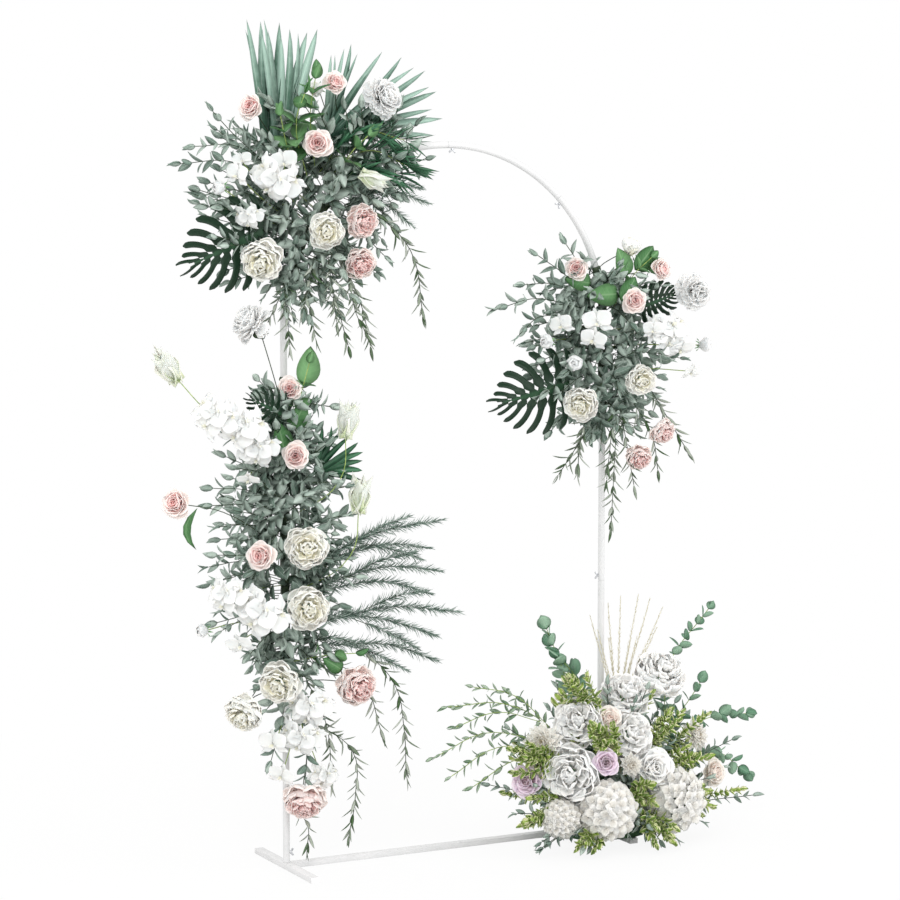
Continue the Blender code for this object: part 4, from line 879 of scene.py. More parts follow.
# %% The leafy stem tree
def leafy_tree():
    """Leaves along curves, and the curves as stems."""
    tree, given, result = new_group("leafy_stem", 'GeometryNodeTree', {
        "Geometry": "Geometry", "Leaf": "Object", "Leaf finish": "Material", "Stem finish": "Material",
        "Spacing": 0.03, "Whorl": 2, "Turn": 90.0, "Spread": 50.0, "Size": 0.05, "Tip size": 0.6,
        "Bare": 0.15, "Jitter": 12.0, "Radius": 0.0012, "Seed": 0}, {"Geometry": "Geometry"})

    def named(name):
        return node(tree, "GeometryNodeInputNamedAttribute", {"Name": name}, data_type='FLOAT')

    along = node(tree, "GeometryNodeSplineParameter")
    even = node(tree, "GeometryNodeResampleCurve", {"Curve": given["Geometry"], "Length": given["Spacing"]},
                mode='LENGTH')
    even = stored(even, "along", along, 'POINT')
    points = node(tree, "GeometryNodeCurveToPoints", {"Curve": even}, "Points", mode='EVALUATED')
    share = named("along")
    bare = share.below(given["Bare"])
    kept = node(tree, "GeometryNodeDeleteGeometry", {"Geometry": points, "Selection": bare}, domain='POINT')
    order = node(tree, "GeometryNodeInputIndex")
    kept = stored(kept, "order", order, 'POINT')
    copies = node(tree, "GeometryNodeDuplicateElements", {"Geometry": kept, "Amount": given["Whorl"]},
                  "Geometry", domain='POINT')

    def shake(shift, most=1.0):
        return given["Jitter"].radians() * chance(order, given["Seed"], shift, -most, most)

    def turned_by(rotation, y=0.0, z=0.0):
        inputs = {"Rotation": rotation, "Rotate By": turning(combined(0.0, y, z))}
        return node(tree, "FunctionNodeRotateRotation", inputs, rotation_space='LOCAL')

    roll = (named("order") * given["Turn"]).radians()
    roll = roll + copies.other("Duplicate Index") * (2 * math.pi) / given["Whorl"] + shake(1)
    spread = given["Spread"].radians() * (1.0 - share ** 9.0) + shake(2)
    aim = turned_by(turned_by(points.other("Rotation"), z=roll), y=spread)
    aim = turned_by(aim, z=shake(3, 1.5))
    size = given["Size"] * chance(order, given["Seed"], 4, 0.72, 1.12) * share.between(1.0, given["Tip size"])
    placed = instanced(copies, given["Leaf"], aim, size)
    placed = stored(placed, "tint", chance(order, given["Seed"], 5, 0.0, 1.0), 'INSTANCE')
    leaves = coated(node(tree, "GeometryNodeRealizeInstances", {0: placed}), given["Leaf finish"])
    thinning = along.between(1.0, 0.5)
    stem = node(tree, "GeometryNodeSetCurveRadius", {"Curve": given["Geometry"], "Radius": thinning})
    circle = node(tree, "GeometryNodeCurvePrimitiveCircle", {"Resolution": 6, "Radius": given["Radius"]})
    stem = node(tree, "GeometryNodeCurveToMesh", {"Curve": stem, "Profile Curve": circle, "Fill Caps": True})
    join = tree.nodes.new("GeometryNodeJoinGeometry")
    link(join.inputs, Geometry=coated(stem, given["Stem finish"]))
    link(join.inputs, Geometry=leaves)
    link(result, Geometry=Value(join.outputs[0]))
    return tree


LEAFY = leafy_tree()
print("leafy tree:", len(LEAFY.nodes), "nodes")

# %% [markdown]
# One table holds the kinds of greenery, by the names of the tree's inputs. An arrangement may
# change a number or two, such as a longer leaf.

# %% Kinds of greenery
COLUMNS = ("Leaf", "Leaf finish", "Stem finish", "Spacing", "Whorl", "Turn", "Spread", "Size", "Tip size",
           "Bare", "Jitter")
GREENS = {
    "sage": ("oval", SAGE, DARK_STEM, 0.030, 2, 83, 52, 0.070, 0.6, 0.2, 12),
    "rosemary": ("needle", ROSEMARY, DARK_STEM, 0.005, 4, 37, 36, 0.042, 0.6, 0.15, 12),
    "willow": ("lance", WILLOW, DARK_STEM, 0.020, 2, 72, 40, 0.056, 0.8, 0.02, 12),
    "green": ("broad", ROSE_LEAF, GREEN_STEM, 0.050, 2, 95, 55, 0.062, 0.6, 0.3, 12),
    "fronds": ("needle", DARK_PALM, GREEN_STEM, 0.010, 2, 4, 36, 0.125, 0.75, 0.2, 8),
    "eucalyptus": ("round", EUCALYPTUS, GREEN_STEM, 0.028, 2, 85, 58, 0.052, 0.75, 0.4, 22),
    "spray": ("slender", GREY_SPRAY, GREEN_STEM, 0.026, 2, 75, 48, 0.042, 0.8, 0.2, 20),
    "box": ("small", BOX_LEAF, GREEN_STEM, 0.015, 4, 45, 70, 0.027, 1.0, 0.55, 20),
    "plume": ("grain", STRAW, STRAW, 0.008, 3, 60, 20, 0.020, 0.6, 0.45, 12)}


def leafed(name, green, runs, seed, **changes):
    """Leafy stems of one kind through the runs of points. Changes are named with _ for a space."""
    values = dict(zip(COLUMNS, GREENS[green]), Seed=seed)
    values["Leaf"] = LEAVES[values["Leaf"]]
    values.update({label.replace("_", " "): value for label, value in changes.items()})
    return grown(curves(name, runs), LEAFY, values)


print("greens:", ", ".join(GREENS))

# %% [markdown]
# ## Setting out an arrangement
# Each arrangement is measured in millimetres from one anchor on the tube. A head is a kind, a
# place, a turn to the right, a tilt upwards and a diameter, and may name a point that its stem
# passes. The stem runs back to the tube, where green tape holds all the stems. Sprays are lines
# of points from the same anchor. All other lengths are in metres, as everywhere.

# %% Tools for arrangements
Arrangement = namedtuple("Arrangement", "name anchor low high")
TAPE_RADIUS = 0.0125
TAPE_SIDES = 16
TAPE_STEP = 0.006
TAPE_MARGIN = 0.008
STEM_RADIUS = 0.0014
FOAM_X = -0.04
# How deep a stem's end sits in the tape, and how far behind a flower it starts, as shares of the
# tape's radius and of the flower's diameter.
SUNK = 0.7
FLAT_BACK, FULL_BACK = 0.06, 0.22
GOLDEN_TURN = 2.39996
CHANCE = random.Random(7)


def spot(anchor, point):
    """A point given in millimetres from the anchor."""
    return anchor + Vector([distance / 1000 for distance in point])


def runs_from(where, *runs):
    """Runs of points given in millimetres from the arrangement's anchor."""
    return [[spot(where.anchor, point) for point in run] for run in runs]


def held_at(where, point):
    """The middle of the tube where the arrangement's tape holds what leads to a point."""
    return centre_line(min(max(nearest_distance(point), where.low), where.high))[0]


def facing(turn, tilt):
    """The direction that a flower faces, turned from the front to the right and tilted up."""
    turn, tilt = math.radians(turn), math.radians(tilt)
    return Vector((math.sin(turn) * math.cos(tilt), -math.cos(turn) * math.cos(tilt), math.sin(tilt)))


print("anchors and directions ready")

# %% [markdown]
# Heads and single leaves are copies of the patterns, turned to where they face. A stem is a
# round wire from the back of each head to the tape, or down into the foam.


# %% Setting heads and leaves in place
def copy_of(pattern, matrix, finish=None, tint=0.5):
    """A copy of a pattern set in its place, with a finish and a tint of its own."""
    mesh = pattern.data.copy()
    mesh.transform(matrix)
    if finish:
        mesh.materials.clear()
    if "tint" not in mesh.attributes:
        shades = mesh.attributes.new("tint", 'FLOAT', 'POINT')
        shades.data.foreach_set("value", [tint] * len(mesh.vertices))
    return to_object(pattern.name, mesh, finish)


def aimed(along, face):
    """A turn of a leaf, with +Z along it and its upper side, -X, towards the face."""
    z = along.normalized()
    y = z.cross(-face).normalized()
    return Matrix((y.cross(z), y, z)).transposed().to_4x4()


def laid_leaf(kind, root, tip, finish, face=FRONT, width=1.0, bend=Vector()):
    """One leaf from its root to its tip, bowed sideways by bend."""
    pattern = LEAVES[kind]
    length = (tip - root).length
    bow = [bend * vert.co.z * (1 - vert.co.z) * 4 for vert in pattern.data.vertices]
    size = Matrix.Diagonal((length, length * width, length, 1))
    matrix = Matrix.Translation(root) @ aimed(tip - root, face) @ size
    made = copy_of(pattern, matrix, finish, CHANCE.random())
    for vert, shift in zip(made.data.vertices, bow):
        vert.co += shift
    return made


def single_leaves(where, *ends):
    """Single broad leaves, each from a root to a tip."""
    return [laid_leaf("broad", spot(where.anchor, root), spot(where.anchor, tip), ROSE_LEAF)
            for root, tip in ends]


def stems(runs, finish):
    """Round stems through runs of points."""
    made = curves("stems", runs)
    made.data.bevel_depth = STEM_RADIUS
    made.data.bevel_resolution = 1
    made.data.use_fill_caps = True
    made = applied(made)
    made.data.materials.append(finish)
    return made


def set_heads(where, sites, finish=DARK_STEM):
    """Copies of the heads in their places, with stems back to the tape or down to the foam."""
    pieces, runs = [], []
    for kind, x, y, z, turn, tilt, diameter, *via in sites:
        diameter /= 1000
        place = spot(where.anchor, (x, y, z))
        direction = facing(turn, tilt)
        spin = Matrix.Rotation(CHANCE.uniform(0, 6.28), 4, 'Z')
        if "orchid" in kind:
            spin = Matrix.Rotation(CHANCE.uniform(*ORCHID_SPIN), 4, 'Z')
        matrix = (Matrix.Translation(place) @ direction.to_track_quat('Z', 'Y').to_matrix().to_4x4() @ spin
                  @ Matrix.Scale(diameter / 2, 4))
        pieces.append(copy_of(HEADS[kind], matrix))
        back = place - direction * diameter * (FLAT_BACK if kind == "orchid" else FULL_BACK)
        bow = spot(where.anchor, via) if via else None
        if where.low is None:
            root = where.anchor + Vector((FOAM_X + 0.25 * x / 1000, -0.12, min(0.25, 0.5 * place.z)))
        else:
            middle = held_at(where, bow - Vector((0, 0, 0.12)) if via else place)
            root = middle + (back - middle).normalized() * TAPE_RADIUS * SUNK
        bow = bow or back.lerp(root, 0.45) - direction * 0.012 - FRONT * 0.04
        runs.append([back, bow, root])
    return pieces + [stems(runs, finish)]


def flowers(where, kind, slot, sites, finish=DARK_STEM):
    """The heads of one node, made into one piece."""
    name = f"{where.name}_{kind}"
    finish_piece(joined("heads_" + name, set_heads(where, sites, finish)), slot, name)


print("heads and leaves can be set in place")

# %% [markdown]
# Sage grows all over an arrangement, so the tips of its stems fill an oval by the golden angle.
# The tape is a tube round the tube, with small lumps where stems lie under it.


# %% Sprays and tape
def swag(where, centre, half_width, half_height, count, seed):
    """Runs from the tube to tips all over an oval, some before the tube and some behind it."""
    inner, back, front = 0.25, 0.05, -0.13
    dice = random.Random(seed)
    runs = []
    for i in range(count):
        angle = i * GOLDEN_TURN + dice.uniform(-0.2, 0.2)
        reach = (inner + (1 - inner) * math.sqrt((i + 0.5) / count)) * dice.uniform(0.94, 1.0)
        depth = dice.uniform(front, back) * (1.25 - reach * 0.6)
        tip = where.anchor + Vector((centre[0] + half_width * reach * math.cos(angle), depth,
                                     centre[1] + half_height * reach * math.sin(angle)))
        middle = held_at(where, where.anchor + (tip - where.anchor) * 0.72)
        root = middle + (tip - middle).normalized() * TAPE_RADIUS * 0.6
        bow = root.lerp(tip, 0.5) + Vector((0, dice.uniform(-0.02, 0.02), dice.uniform(0.0, 0.03)))
        runs.append([root, bow, tip])
    return runs


def tufts(where, count, seed):
    """Short runs that stand out in front of the tube and hide the tape."""
    reach = 0.10
    dice = random.Random(seed)
    runs = []
    for i in range(count):
        middle, outward = centre_line(where.low + (where.high - where.low) * (i + 0.5) / count)
        side = dice.uniform(-100, 100)
        aim = FRONT * math.cos(math.radians(side)) + outward * math.sin(math.radians(side))
        drop = Vector((dice.uniform(-0.05, 0.05), 0, dice.uniform(-0.07, 0.05)))
        root = middle + aim * TAPE_RADIUS * SUNK
        tip = root + aim * reach * dice.uniform(0.7, 1.0) + drop
        runs.append([root, root + aim * reach * 0.5 + drop * 0.3, tip])
    return runs


def tape(where, below=TAPE_MARGIN, above=TAPE_MARGIN):
    """Green tape wound over the stems on the tube, lumpy where stems lie under it."""
    low, high = where.low - below, where.high + above
    bm = bmesh.new()
    count = int((high - low) / TAPE_STEP)
    rings = []
    for i in range(count + 1):
        def lumpy(angle):
            lump = 1 + 0.10 * math.sin(3 * angle + 0.35 * i) + 0.05 * math.sin(5 * angle - 0.8 * i)
            return max(TAPE_RADIUS * lump * (0.82 if i in (0, count) else 1.0), TUBE_RADIUS + 0.0004)
        rings.append(ring(bm, low + (high - low) * i / count, TAPE_SIDES, lumpy))
    for i in range(count, -1, -1):
        rings.append(ring(bm, low + (high - low) * i / count, TAPE_SIDES, lambda angle: TUBE_RADIUS + 0.0001))
    return shell("tape", bm, rings, DARK_STEM)


print("sprays and tape ready")

# %% [markdown]
# ## The slit leaf
# A Swiss-cheese plant's leaf has deep slits between its lobes. Each lobe is a small grid from
# the midrib to the margin. Lobes share their points near the rib and part further out.

# %% The slit leaf
LOBES = 8
LOBE_ROWS, LOBE_COLUMNS = 16, 5
DROOP = 0.10


def lobe_half(s):
    """Half of a lobe's width, in lobes, from the midrib at 0 to the margin at 1."""
    if s < 0.06 or 0.20 <= s < 0.28:
        return 0.5
    if s < 0.20:
        return 0.5 - 0.20 * math.sin(math.pi * (s - 0.06) / 0.14)
    half = 0.5 - 0.21 * min(1.0, (s - 0.28) / 0.12) ** 0.7
    return half * math.sqrt(max(0.03, 1 - max(0.0, (s - 0.86) / 0.14) ** 2))


def slit_leaf(name, where, root, tip, width):
    """One slit leaf from its root to its tip, broad side to the front."""
    root, tip = spot(where.anchor, root), spot(where.anchor, tip)
    length = (tip - root).length
    bm = bmesh.new()
    uv = bm.loops.layers.uv.new("UVMap")
    places = {}
    for side in (-1, 1):
        for lobe in range(LOBES):
            grid = []
            for i in range(LOBE_ROWS + 1):
                s = i / LOBE_ROWS
                half = lobe_half(s)
                row = []
                for j in range(LOBE_COLUMNS + 1):
                    place = lobe + 0.5 + (j / LOBE_COLUMNS * 2 - 1) * half
                    share = place / LOBES
                    angle = math.radians(128 - 112 * share ** 0.85)
                    reach = width / 2 * (0.70 + 0.62 * math.sin(math.pi * min(1, share * 1.05 + 0.12)))
                    reach *= 1 if share < 0.85 else 0.94
                    turn = angle - 0.35 * s * s * math.sin(angle)
                    along = length * 0.80 * share ** 1.1 + reach * s * math.cos(turn)
                    across = reach * s * math.sin(turn)
                    ripple = 0.006 * math.sin(6.28 * (place - lobe)) * s
                    sag = DROOP * (along * abs(along) + 2.2 * across * across) / length
                    x = sag - 0.10 * across * s + ripple
                    vert = bm.verts.new((x, side * across, along))
                    places[vert] = (0.5 + side * s / 2, share)
                    row.append(vert)
                grid.append(row)
            for near, far in zip(grid, grid[1:]):
                for j in range(LOBE_COLUMNS):
                    corners = (near[j], near[j + 1], far[j + 1], far[j])
                    bm.faces.new(corners if side > 0 else corners[::-1])
    for piece in bm.faces:
        for loop in piece.loops:
            loop[uv].uv = places[loop.vert]
    bmesh.ops.remove_doubles(bm, verts=bm.verts, dist=0.0001)
    made = worked(from_bmesh(name, bm, MONSTERA), 'SOLIDIFY', thickness=0.0012, offset=0.0)
    made.data.transform(Matrix.Translation(root) @ aimed(tip - root, FRONT))
    return made


def palm_fan(where, hub, first, last, blades, near, far, finish, width):
    """Blades spread from one hub, longer towards the last."""
    hub = spot(where.anchor, hub)
    pieces = []
    for i in range(blades):
        share = i / (blades - 1)
        angle = math.radians(first + (last - first) * share + CHANCE.uniform(-2.5, 2.5))
        aim = Vector((math.cos(angle), 0.12 * math.cos(5 * angle), math.sin(angle)))
        tip = hub + aim * (near + (far - near) * share) * CHANCE.uniform(0.88, 1.0)
        face = (FRONT + Vector((0.6 * math.sin(2.1 * i), 0, 0.3))).normalized()
        bend = Vector((CHANCE.uniform(-0.012, 0.012), CHANCE.uniform(-0.01, 0.01), 0.004))
        wide = width * CHANCE.uniform(0.85, 1.2)
        pieces.append(laid_leaf("blade", hub - aim * 0.008, tip, finish, face, wide, bend))
    return pieces


print("slit leaf ready")

# %% [markdown]
# ## The arrangement on the head
# It covers the left half of the round head: a mass of sage, pink roses above, cream peonies
# below, moth orchids to the left, and a palm leaf that stands up on each side.

# %% Flowers of the head
TOP = Arrangement("top", centre_line(SPRING + math.radians(40) * HALF_WIDTH)[0], SPRING + 0.10, SPRING + 0.66)

flowers(TOP, "roses", "pink_silk", [
    ("pink rose", -237, -60, 277, -45, 10, 74), ("pink rose", 9, -70, 344, -5, 20, 70),
    ("pale bud", -40, -50, 325, -60, -10, 50), ("white carnation", 142, -70, 300, 20, 20, 112),
    ("pink rose", -77, -140, 180, -27, 5, 84), ("white tulip", 85, -125, 86, 60, -30, 50, -10, -120, 145)])
flowers(TOP, "peonies", "cream_silk", [
    ("cream peony", -55, -150, -55, -20, -5, 90), ("cream peony", -232, -120, -132, -35, -20, 106),
    ("blush peony", 74, -100, -31, 0, -5, 84), ("blush peony", 68, -100, -145, -10, -15, 80)])
flowers(TOP, "orchids", "white_silk", [
    ("orchid cluster", -200, -155, 80, -35, -25, 135), ("orchid", -175, -140, 125, -10, 10, 85),
    ("orchid", -297, -120, 92, -60, 10, 80), ("orchid", -280, -110, 130, -30, 30, 60),
    ("white bud", -345, -100, 63, -75, 0, 48), ("orchid cluster", -265, -120, -15, -40, -20, 80)], GREEN_STEM)

# %% [markdown]
# Palm leaves are fans of folded blades, the willow hangs in thin vines, and sage fills an oval
# round the tube, so that the whole has a clear outline. Short tufts of it hide the tape.

# %% Greenery of the head
palms = palm_fan(TOP, (-150, 30, 150), 102, 84, 6, 0.37, 0.39, PALM, 1.3)
palms += palm_fan(TOP, (-120, 20, 140), 98, 66, 7, 0.35, 0.42, PALM, 1.3)
palms += palm_fan(TOP, (15, 10, 190), 84, 4, 16, 0.26, 0.40, PALM, 1.2)
finish_piece(joined("blades_top_palms", palms), "dark_green_leaf", "top_palm_leaves")
finish_piece(slit_leaf("leaf_top_monstera", TOP, (-205, -65, -55), (-445, -85, -155), 0.205),
             "dark_green_leaf", "top_monstera_leaf")
finish_piece(leafed("vines_top_willow", "willow", runs_from(
    TOP, [(110, -60, 10), (239, -60, -113), (276, -60, -287)],
    [(-150, -75, -178), (-125, -60, -361)], [(-10, -60, -170), (48, -60, -366)],
    [(-80, -50, -150), (-50, -60, -340)], [(20, -40, -100), (90, -50, -250), (120, -50, -370)],
    [(-110, -50, -160), (-190, -60, -300)], [(-20, -80, -120), (0, -90, -300)],
    [(-60, -80, -120), (-100, -90, -270)], [(40, -70, -120), (60, -80, -270), (90, -80, -330)]), 3),
    "pale_green_leaf", "top_willow_vines")
greens = [
    leafed("sage", "sage", swag(TOP, (-0.075, 0.02), 0.31, 0.30, 96, 21) + tufts(TOP, 60, 41) + runs_from(
        TOP, [(-100, -40, 40), (-300, -80, 130), (-440, -80, 125)],
        [(-120, -40, 60), (-280, -80, 170), (-400, -80, 170)],
        [(-120, -40, 80), (-290, -80, 200), (-350, -80, 260)]), 5),
    leafed("rosemary", "rosemary", runs_from(
        TOP, [(20, -30, 20), (160, -50, 80), (270, -50, 60)],
        [(20, -30, 0), (170, -50, 50), (290, -50, 20)],
        [(20, -30, 0), (150, -50, 20), (240, -60, -40)]), 6),
    leafed("green", "green", runs_from(
        TOP, [(-60, -40, 80), (-120, -100, 240), (-100, -110, 310)],
        [(-40, -40, 120), (-70, -80, 260), (-60, -90, 350)],
        [(-80, -40, 60), (-150, -100, 180), (-170, -110, 250)],
        [(0, -40, 50), (50, -90, 160), (90, -100, 200)]), 7, Spacing=0.038, Spread=58, Size=0.085),
    leafed("fronds", "fronds", runs_from(
        TOP, [(-20, -20, 100), (80, -50, 210), (220, -60, 190)],
        [(0, -20, 80), (100, -60, 160), (230, -60, 120)],
        [(0, -20, 50), (100, -40, 110), (200, -50, 100)]), 27)]
finish_piece(joined("greens_top", [*greens, tape(TOP)]), "sage_leaf", "top_foliage")

# %% [markdown]
# ## The arrangement down the left leg
# The longest one: a run of cream peonies and moth orchids from the spring of the head almost
# to the floor, three long-stemmed tulips, and thick sprays of rosemary towards the middle.

# %% Flowers of the left leg
LEFT = Arrangement("left", Vector((-HALF_WIDTH, 0, 0.80)), 0.50, 1.34)

flowers(LEFT, "roses", "pink_silk", [
    ("pink rose", -10, -60, 531, -27, 15, 73), ("pink rose", -24, -130, 356, -25, 5, 80),
    ("pink rose", -347, -70, 240, -50, 10, 90, -200, -50, 205), ("pink rose", -138, -150, 95, -45, 5, 86)])
flowers(LEFT, "peonies", "cream_silk", [
    ("cream peony", -6, -160, 110, -20, 5, 107), ("cream peony", -1, -160, -56, -15, 0, 108),
    ("cream peony", -77, -130, -258, -40, -10, 105), ("cream peony", -172, -110, -335, -50, -35, 100),
    ("blush peony", 167, -110, -287, 5, -10, 105),
    ("blush peony", 19, -80, -600, -27, -40, 108, 30, -60, -420)])
flowers(LEFT, "orchids", "white_silk", [
    ("orchid cluster", -245, -110, 465, -40, 15, 130), ("orchid cluster", -175, -125, 440, -15, 0, 140),
    ("orchid cluster", -125, -120, 375, -20, -10, 110), ("orchid", -155, -115, 300, -30, -50, 70),
    ("orchid cluster", -224, -135, -10, -50, 10, 115), ("orchid cluster", -140, -170, -60, -30, 0, 145),
    ("white bud", -286, -100, -103, -80, 0, 45), ("orchid", -190, -140, -140, -40, -30, 85),
    ("orchid cluster", 18, -125, -335, -20, 0, 125, 20, -50, -300),
    ("orchid cluster", 0, -115, -415, -30, -15, 120, 10, -40, -330),
    ("orchid", -75, -90, -430, -45, 0, 90, -10, -40, -330),
    ("orchid", -50, -85, -520, -40, -20, 85, 0, -50, -400),
    ("orchid cluster", 80, -80, -535, 10, -10, 90, 30, -50, -400)], GREEN_STEM)
tulips = set_heads(LEFT, [
    ("white tulip", -345, -40, 590, -60, 45, 68, -240, -70, 470),
    ("white tulip", 151, -80, 430, 10, 78, 64, 125, -90, 280),
    ("white tulip", 190, -80, 222, 10, 78, 64, 155, -90, 70)], GREEN_STEM)
tulips += set_heads(LEFT, [("white carnation", -125, -85, 705, -90, 35, 108, -60, -60, 580)])
finish_piece(joined("heads_left_tulips", tulips), "white_silk", "left_tulips")

# %% [markdown]
# The rosemary reaches far into the opening, so each of its stems has a line of its own. The sage
# is only a mass, and a rule that fills an oval is enough for it.

# %% Greenery of the left leg
finish_piece(leafed("sprays_left_ferns", "rosemary", runs_from(
    LEFT, [(20, -30, 0), (90, -50, 60), (270, -70, 130), (440, -70, 150)],
    [(20, -30, 0), (160, -50, 70), (290, -50, 90), (400, -60, 75)],
    [(20, -30, -50), (100, -50, -10), (280, -70, 30), (430, -70, 10)],
    [(20, -30, -50), (140, -50, -20), (270, -70, -10), (400, -70, -50)],
    [(20, -30, -120), (100, -45, -110), (300, -60, -85), (490, -70, -110)],
    [(20, -30, -120), (120, -45, -100), (280, -60, -120), (420, -70, -170)],
    [(20, -30, -180), (120, -45, -180), (290, -60, -190), (420, -70, -240)],
    [(20, -30, -180), (120, -45, -160), (220, -60, -200), (330, -70, -260)],
    [(140, -50, 75), (220, -80, 130), (330, -80, 165)],
    [(200, -60, 100), (300, -90, 75), (370, -80, 50)],
    [(150, -50, 0), (240, -90, 50), (350, -80, 65)],
    [(200, -60, -90), (300, -90, -50), (380, -80, -45)],
    [(180, -50, -110), (270, -90, -150), (360, -80, -200)]), 8, Size=0.036, Tip_size=0.8, Jitter=16),
    "dark_green_leaf", "left_ferns")
finish_piece(leafed("vines_left_willow", "willow", runs_from(
    LEFT, [(60, -40, -390), (175, -60, -480), (182, -60, -610), (163, -60, -712)],
    [(12, -36, -625), (45, -45, -680), (42, -45, -742)],
    [(205, -40, -190), (303, -60, -300), (333, -60, -430), (339, -60, -560)],
    [(40, -40, -200), (200, -60, -280), (265, -60, -440)],
    [(40, -40, -260), (100, -50, -400), (110, -60, -560)]), 9), "pale_green_leaf", "left_willow_vines")
greens = [
    leafed("sage", "sage", swag(LEFT, (-0.02, 0.11), 0.23, 0.40, 104, 22) + tufts(LEFT, 116, 42) + runs_from(
        LEFT, [(0, -20, -270), (50, -60, -360), (60, -60, -430)],
        [(0, -20, -280), (-40, -60, -380), (-70, -60, -480)],
        [(0, -20, -290), (30, -70, -450), (20, -70, -560)]), 10),
    leafed("green", "green", runs_from(
        LEFT, [(0, -30, 420), (20, -70, 520), (40, -80, 600)],
        [(0, -30, -220), (100, -80, -200), (170, -90, -200)]), 11)]
singles = single_leaves(
    LEFT, ((30, -60, 540), (55, -80, 640)), ((-30, -70, 360), (-50, -90, 440)),
    ((-10, -60, 420), (30, -90, 490)), ((135, -80, -245), (80, -90, -210)))
greens.append(slit_leaf("slit", LEFT, (-30, -70, 460), (-150, -90, 520), 0.10))
greens.append(laid_leaf("oval", spot(LEFT.anchor, (-285, -75, 225)), spot(LEFT.anchor, (-282, -80, 110)),
                        ROSE_LEAF, width=0.45, bend=Vector((-0.035, 0, 0))))
palms = palm_fan(LEFT, (70, -50, 300), 75, -12, 9, 0.14, 0.17, DARK_PALM, 2.2)
finish_piece(joined("greens_left", [*greens, *singles, *palms, tape(LEFT, 0.03, 0.02)]), "sage_leaf",
             "left_foliage")

# %% [markdown]
# ## The arrangement at the top of the right leg
# A smaller one, with lilies and a large slit leaf that reaches into the opening.

# %% Flowers of the right leg
RIGHT = Arrangement("right", Vector((HALF_WIDTH, 0, 1.40)), SPRING_RIGHT - 0.15, SPRING_RIGHT + 0.29)

flowers(RIGHT, "roses", "pink_silk", [
    ("pink rose", -133, -80, 244, -35, 10, 70), ("pink rose", 151, -80, 237, 15, 10, 72),
    ("pink rose", 30, -130, 151, -15, 5, 78), ("pale bud", 60, -60, 305, 20, 60, 70),
    ("white carnation", 246, -90, 171, 0, 5, 105)])
flowers(RIGHT, "lilies", "white_silk", [
    ("orchid", -195, -110, 83, -50, 5, 78), ("orchid", -105, -150, 90, -25, 10, 95),
    ("orchid", -115, -145, 45, -35, -20, 85), ("white bud", -240, -100, 40, -60, 0, 52),
    ("white bud", -159, -120, -22, -40, 0, 56), ("orchid cluster", 150, -125, 60, 10, 10, 135),
    ("orchid", 84, -140, 65, -20, 0, 70), ("orchid", 190, -115, 10, 0, -40, 90),
    ("white bud", 300, -80, 15, 50, 0, 52), ("orchid", 235, -100, -60, 10, -30, 70)], GREEN_STEM)
flowers(RIGHT, "peonies", "cream_silk", [
    ("cream peony", 41, -150, -74, -15, -5, 80), ("cream peony", -138, -120, -139, -35, -10, 92),
    ("blush peony", 138, -110, -229, 10, -30, 72), ("blush peony", 66, -100, -301, -10, -25, 72)])

# %% [markdown]
# The same kinds again, in a smaller oval: a slit leaf, hanging willow, sage, and single leaves
# between the flowers.

# %% Greenery of the right leg
finish_piece(slit_leaf("leaf_right_monstera", RIGHT, (-140, -55, -85), (-410, -85, -140), 0.200),
             "dark_green_leaf", "right_monstera_leaf")
finish_piece(leafed("vines_right_willow", "willow", runs_from(
    RIGHT, [(-80, -60, -215), (-185, -75, -340)], [(10, -60, -260), (-9, -70, -500)],
    [(-40, -50, -140), (-100, -60, -220), (-120, -70, -330)], [(20, -70, -160), (60, -80, -380)],
    [(60, -70, -140), (120, -80, -240), (140, -80, -340)], [(0, -70, -150), (-30, -80, -360)],
    [(120, -60, -100), (242, -75, -290)]), 13), "pale_green_leaf", "right_willow_vines")
greens = [
    leafed("sage", "sage", swag(RIGHT, (-0.02, 0.0), 0.26, 0.27, 76, 23) + tufts(RIGHT, 50, 43) + runs_from(
        RIGHT, [(-50, -40, 100), (-250, -70, 160), (-375, -70, 135)],
        [(-50, -40, 140), (-200, -70, 200), (-290, -70, 200)],
        [(-80, -40, 170), (-170, -70, 230), (-250, -70, 280)],
        [(-80, -40, 200), (-130, -70, 270), (-160, -70, 310)],
        [(-50, -40, 60), (-240, -70, 110), (-310, -70, 60)]), 14),
    leafed("green", "green", runs_from(RIGHT, [(0, -30, 100), (60, -70, 220), (120, -70, 270)]), 15)]
greens += single_leaves(
    RIGHT, ((70, -60, 235), (130, -80, 300)), ((40, -60, 215), (15, -80, 295)),
    ((0, -90, 170), (-95, -100, 165)), ((0, -100, 150), (55, -110, 215)),
    ((-80, -70, 200), (-160, -80, 215)), ((110, -60, 240), (180, -70, 255)))
greens.append(slit_leaf("slit", RIGHT, (100, -60, 130), (220, -80, 170), 0.10))
finish_piece(joined("greens_right", [*greens, tape(RIGHT)]), "sage_leaf", "right_foliage")

# %% [markdown]
# ## The arrangement on the floor
# Large cool-white roses, dahlias and hydrangeas stand in a foam block round the right foot.

# %% Flowers of the foot
BASE = Arrangement("base", Vector((HALF_WIDTH, 0, 0)), None, None)

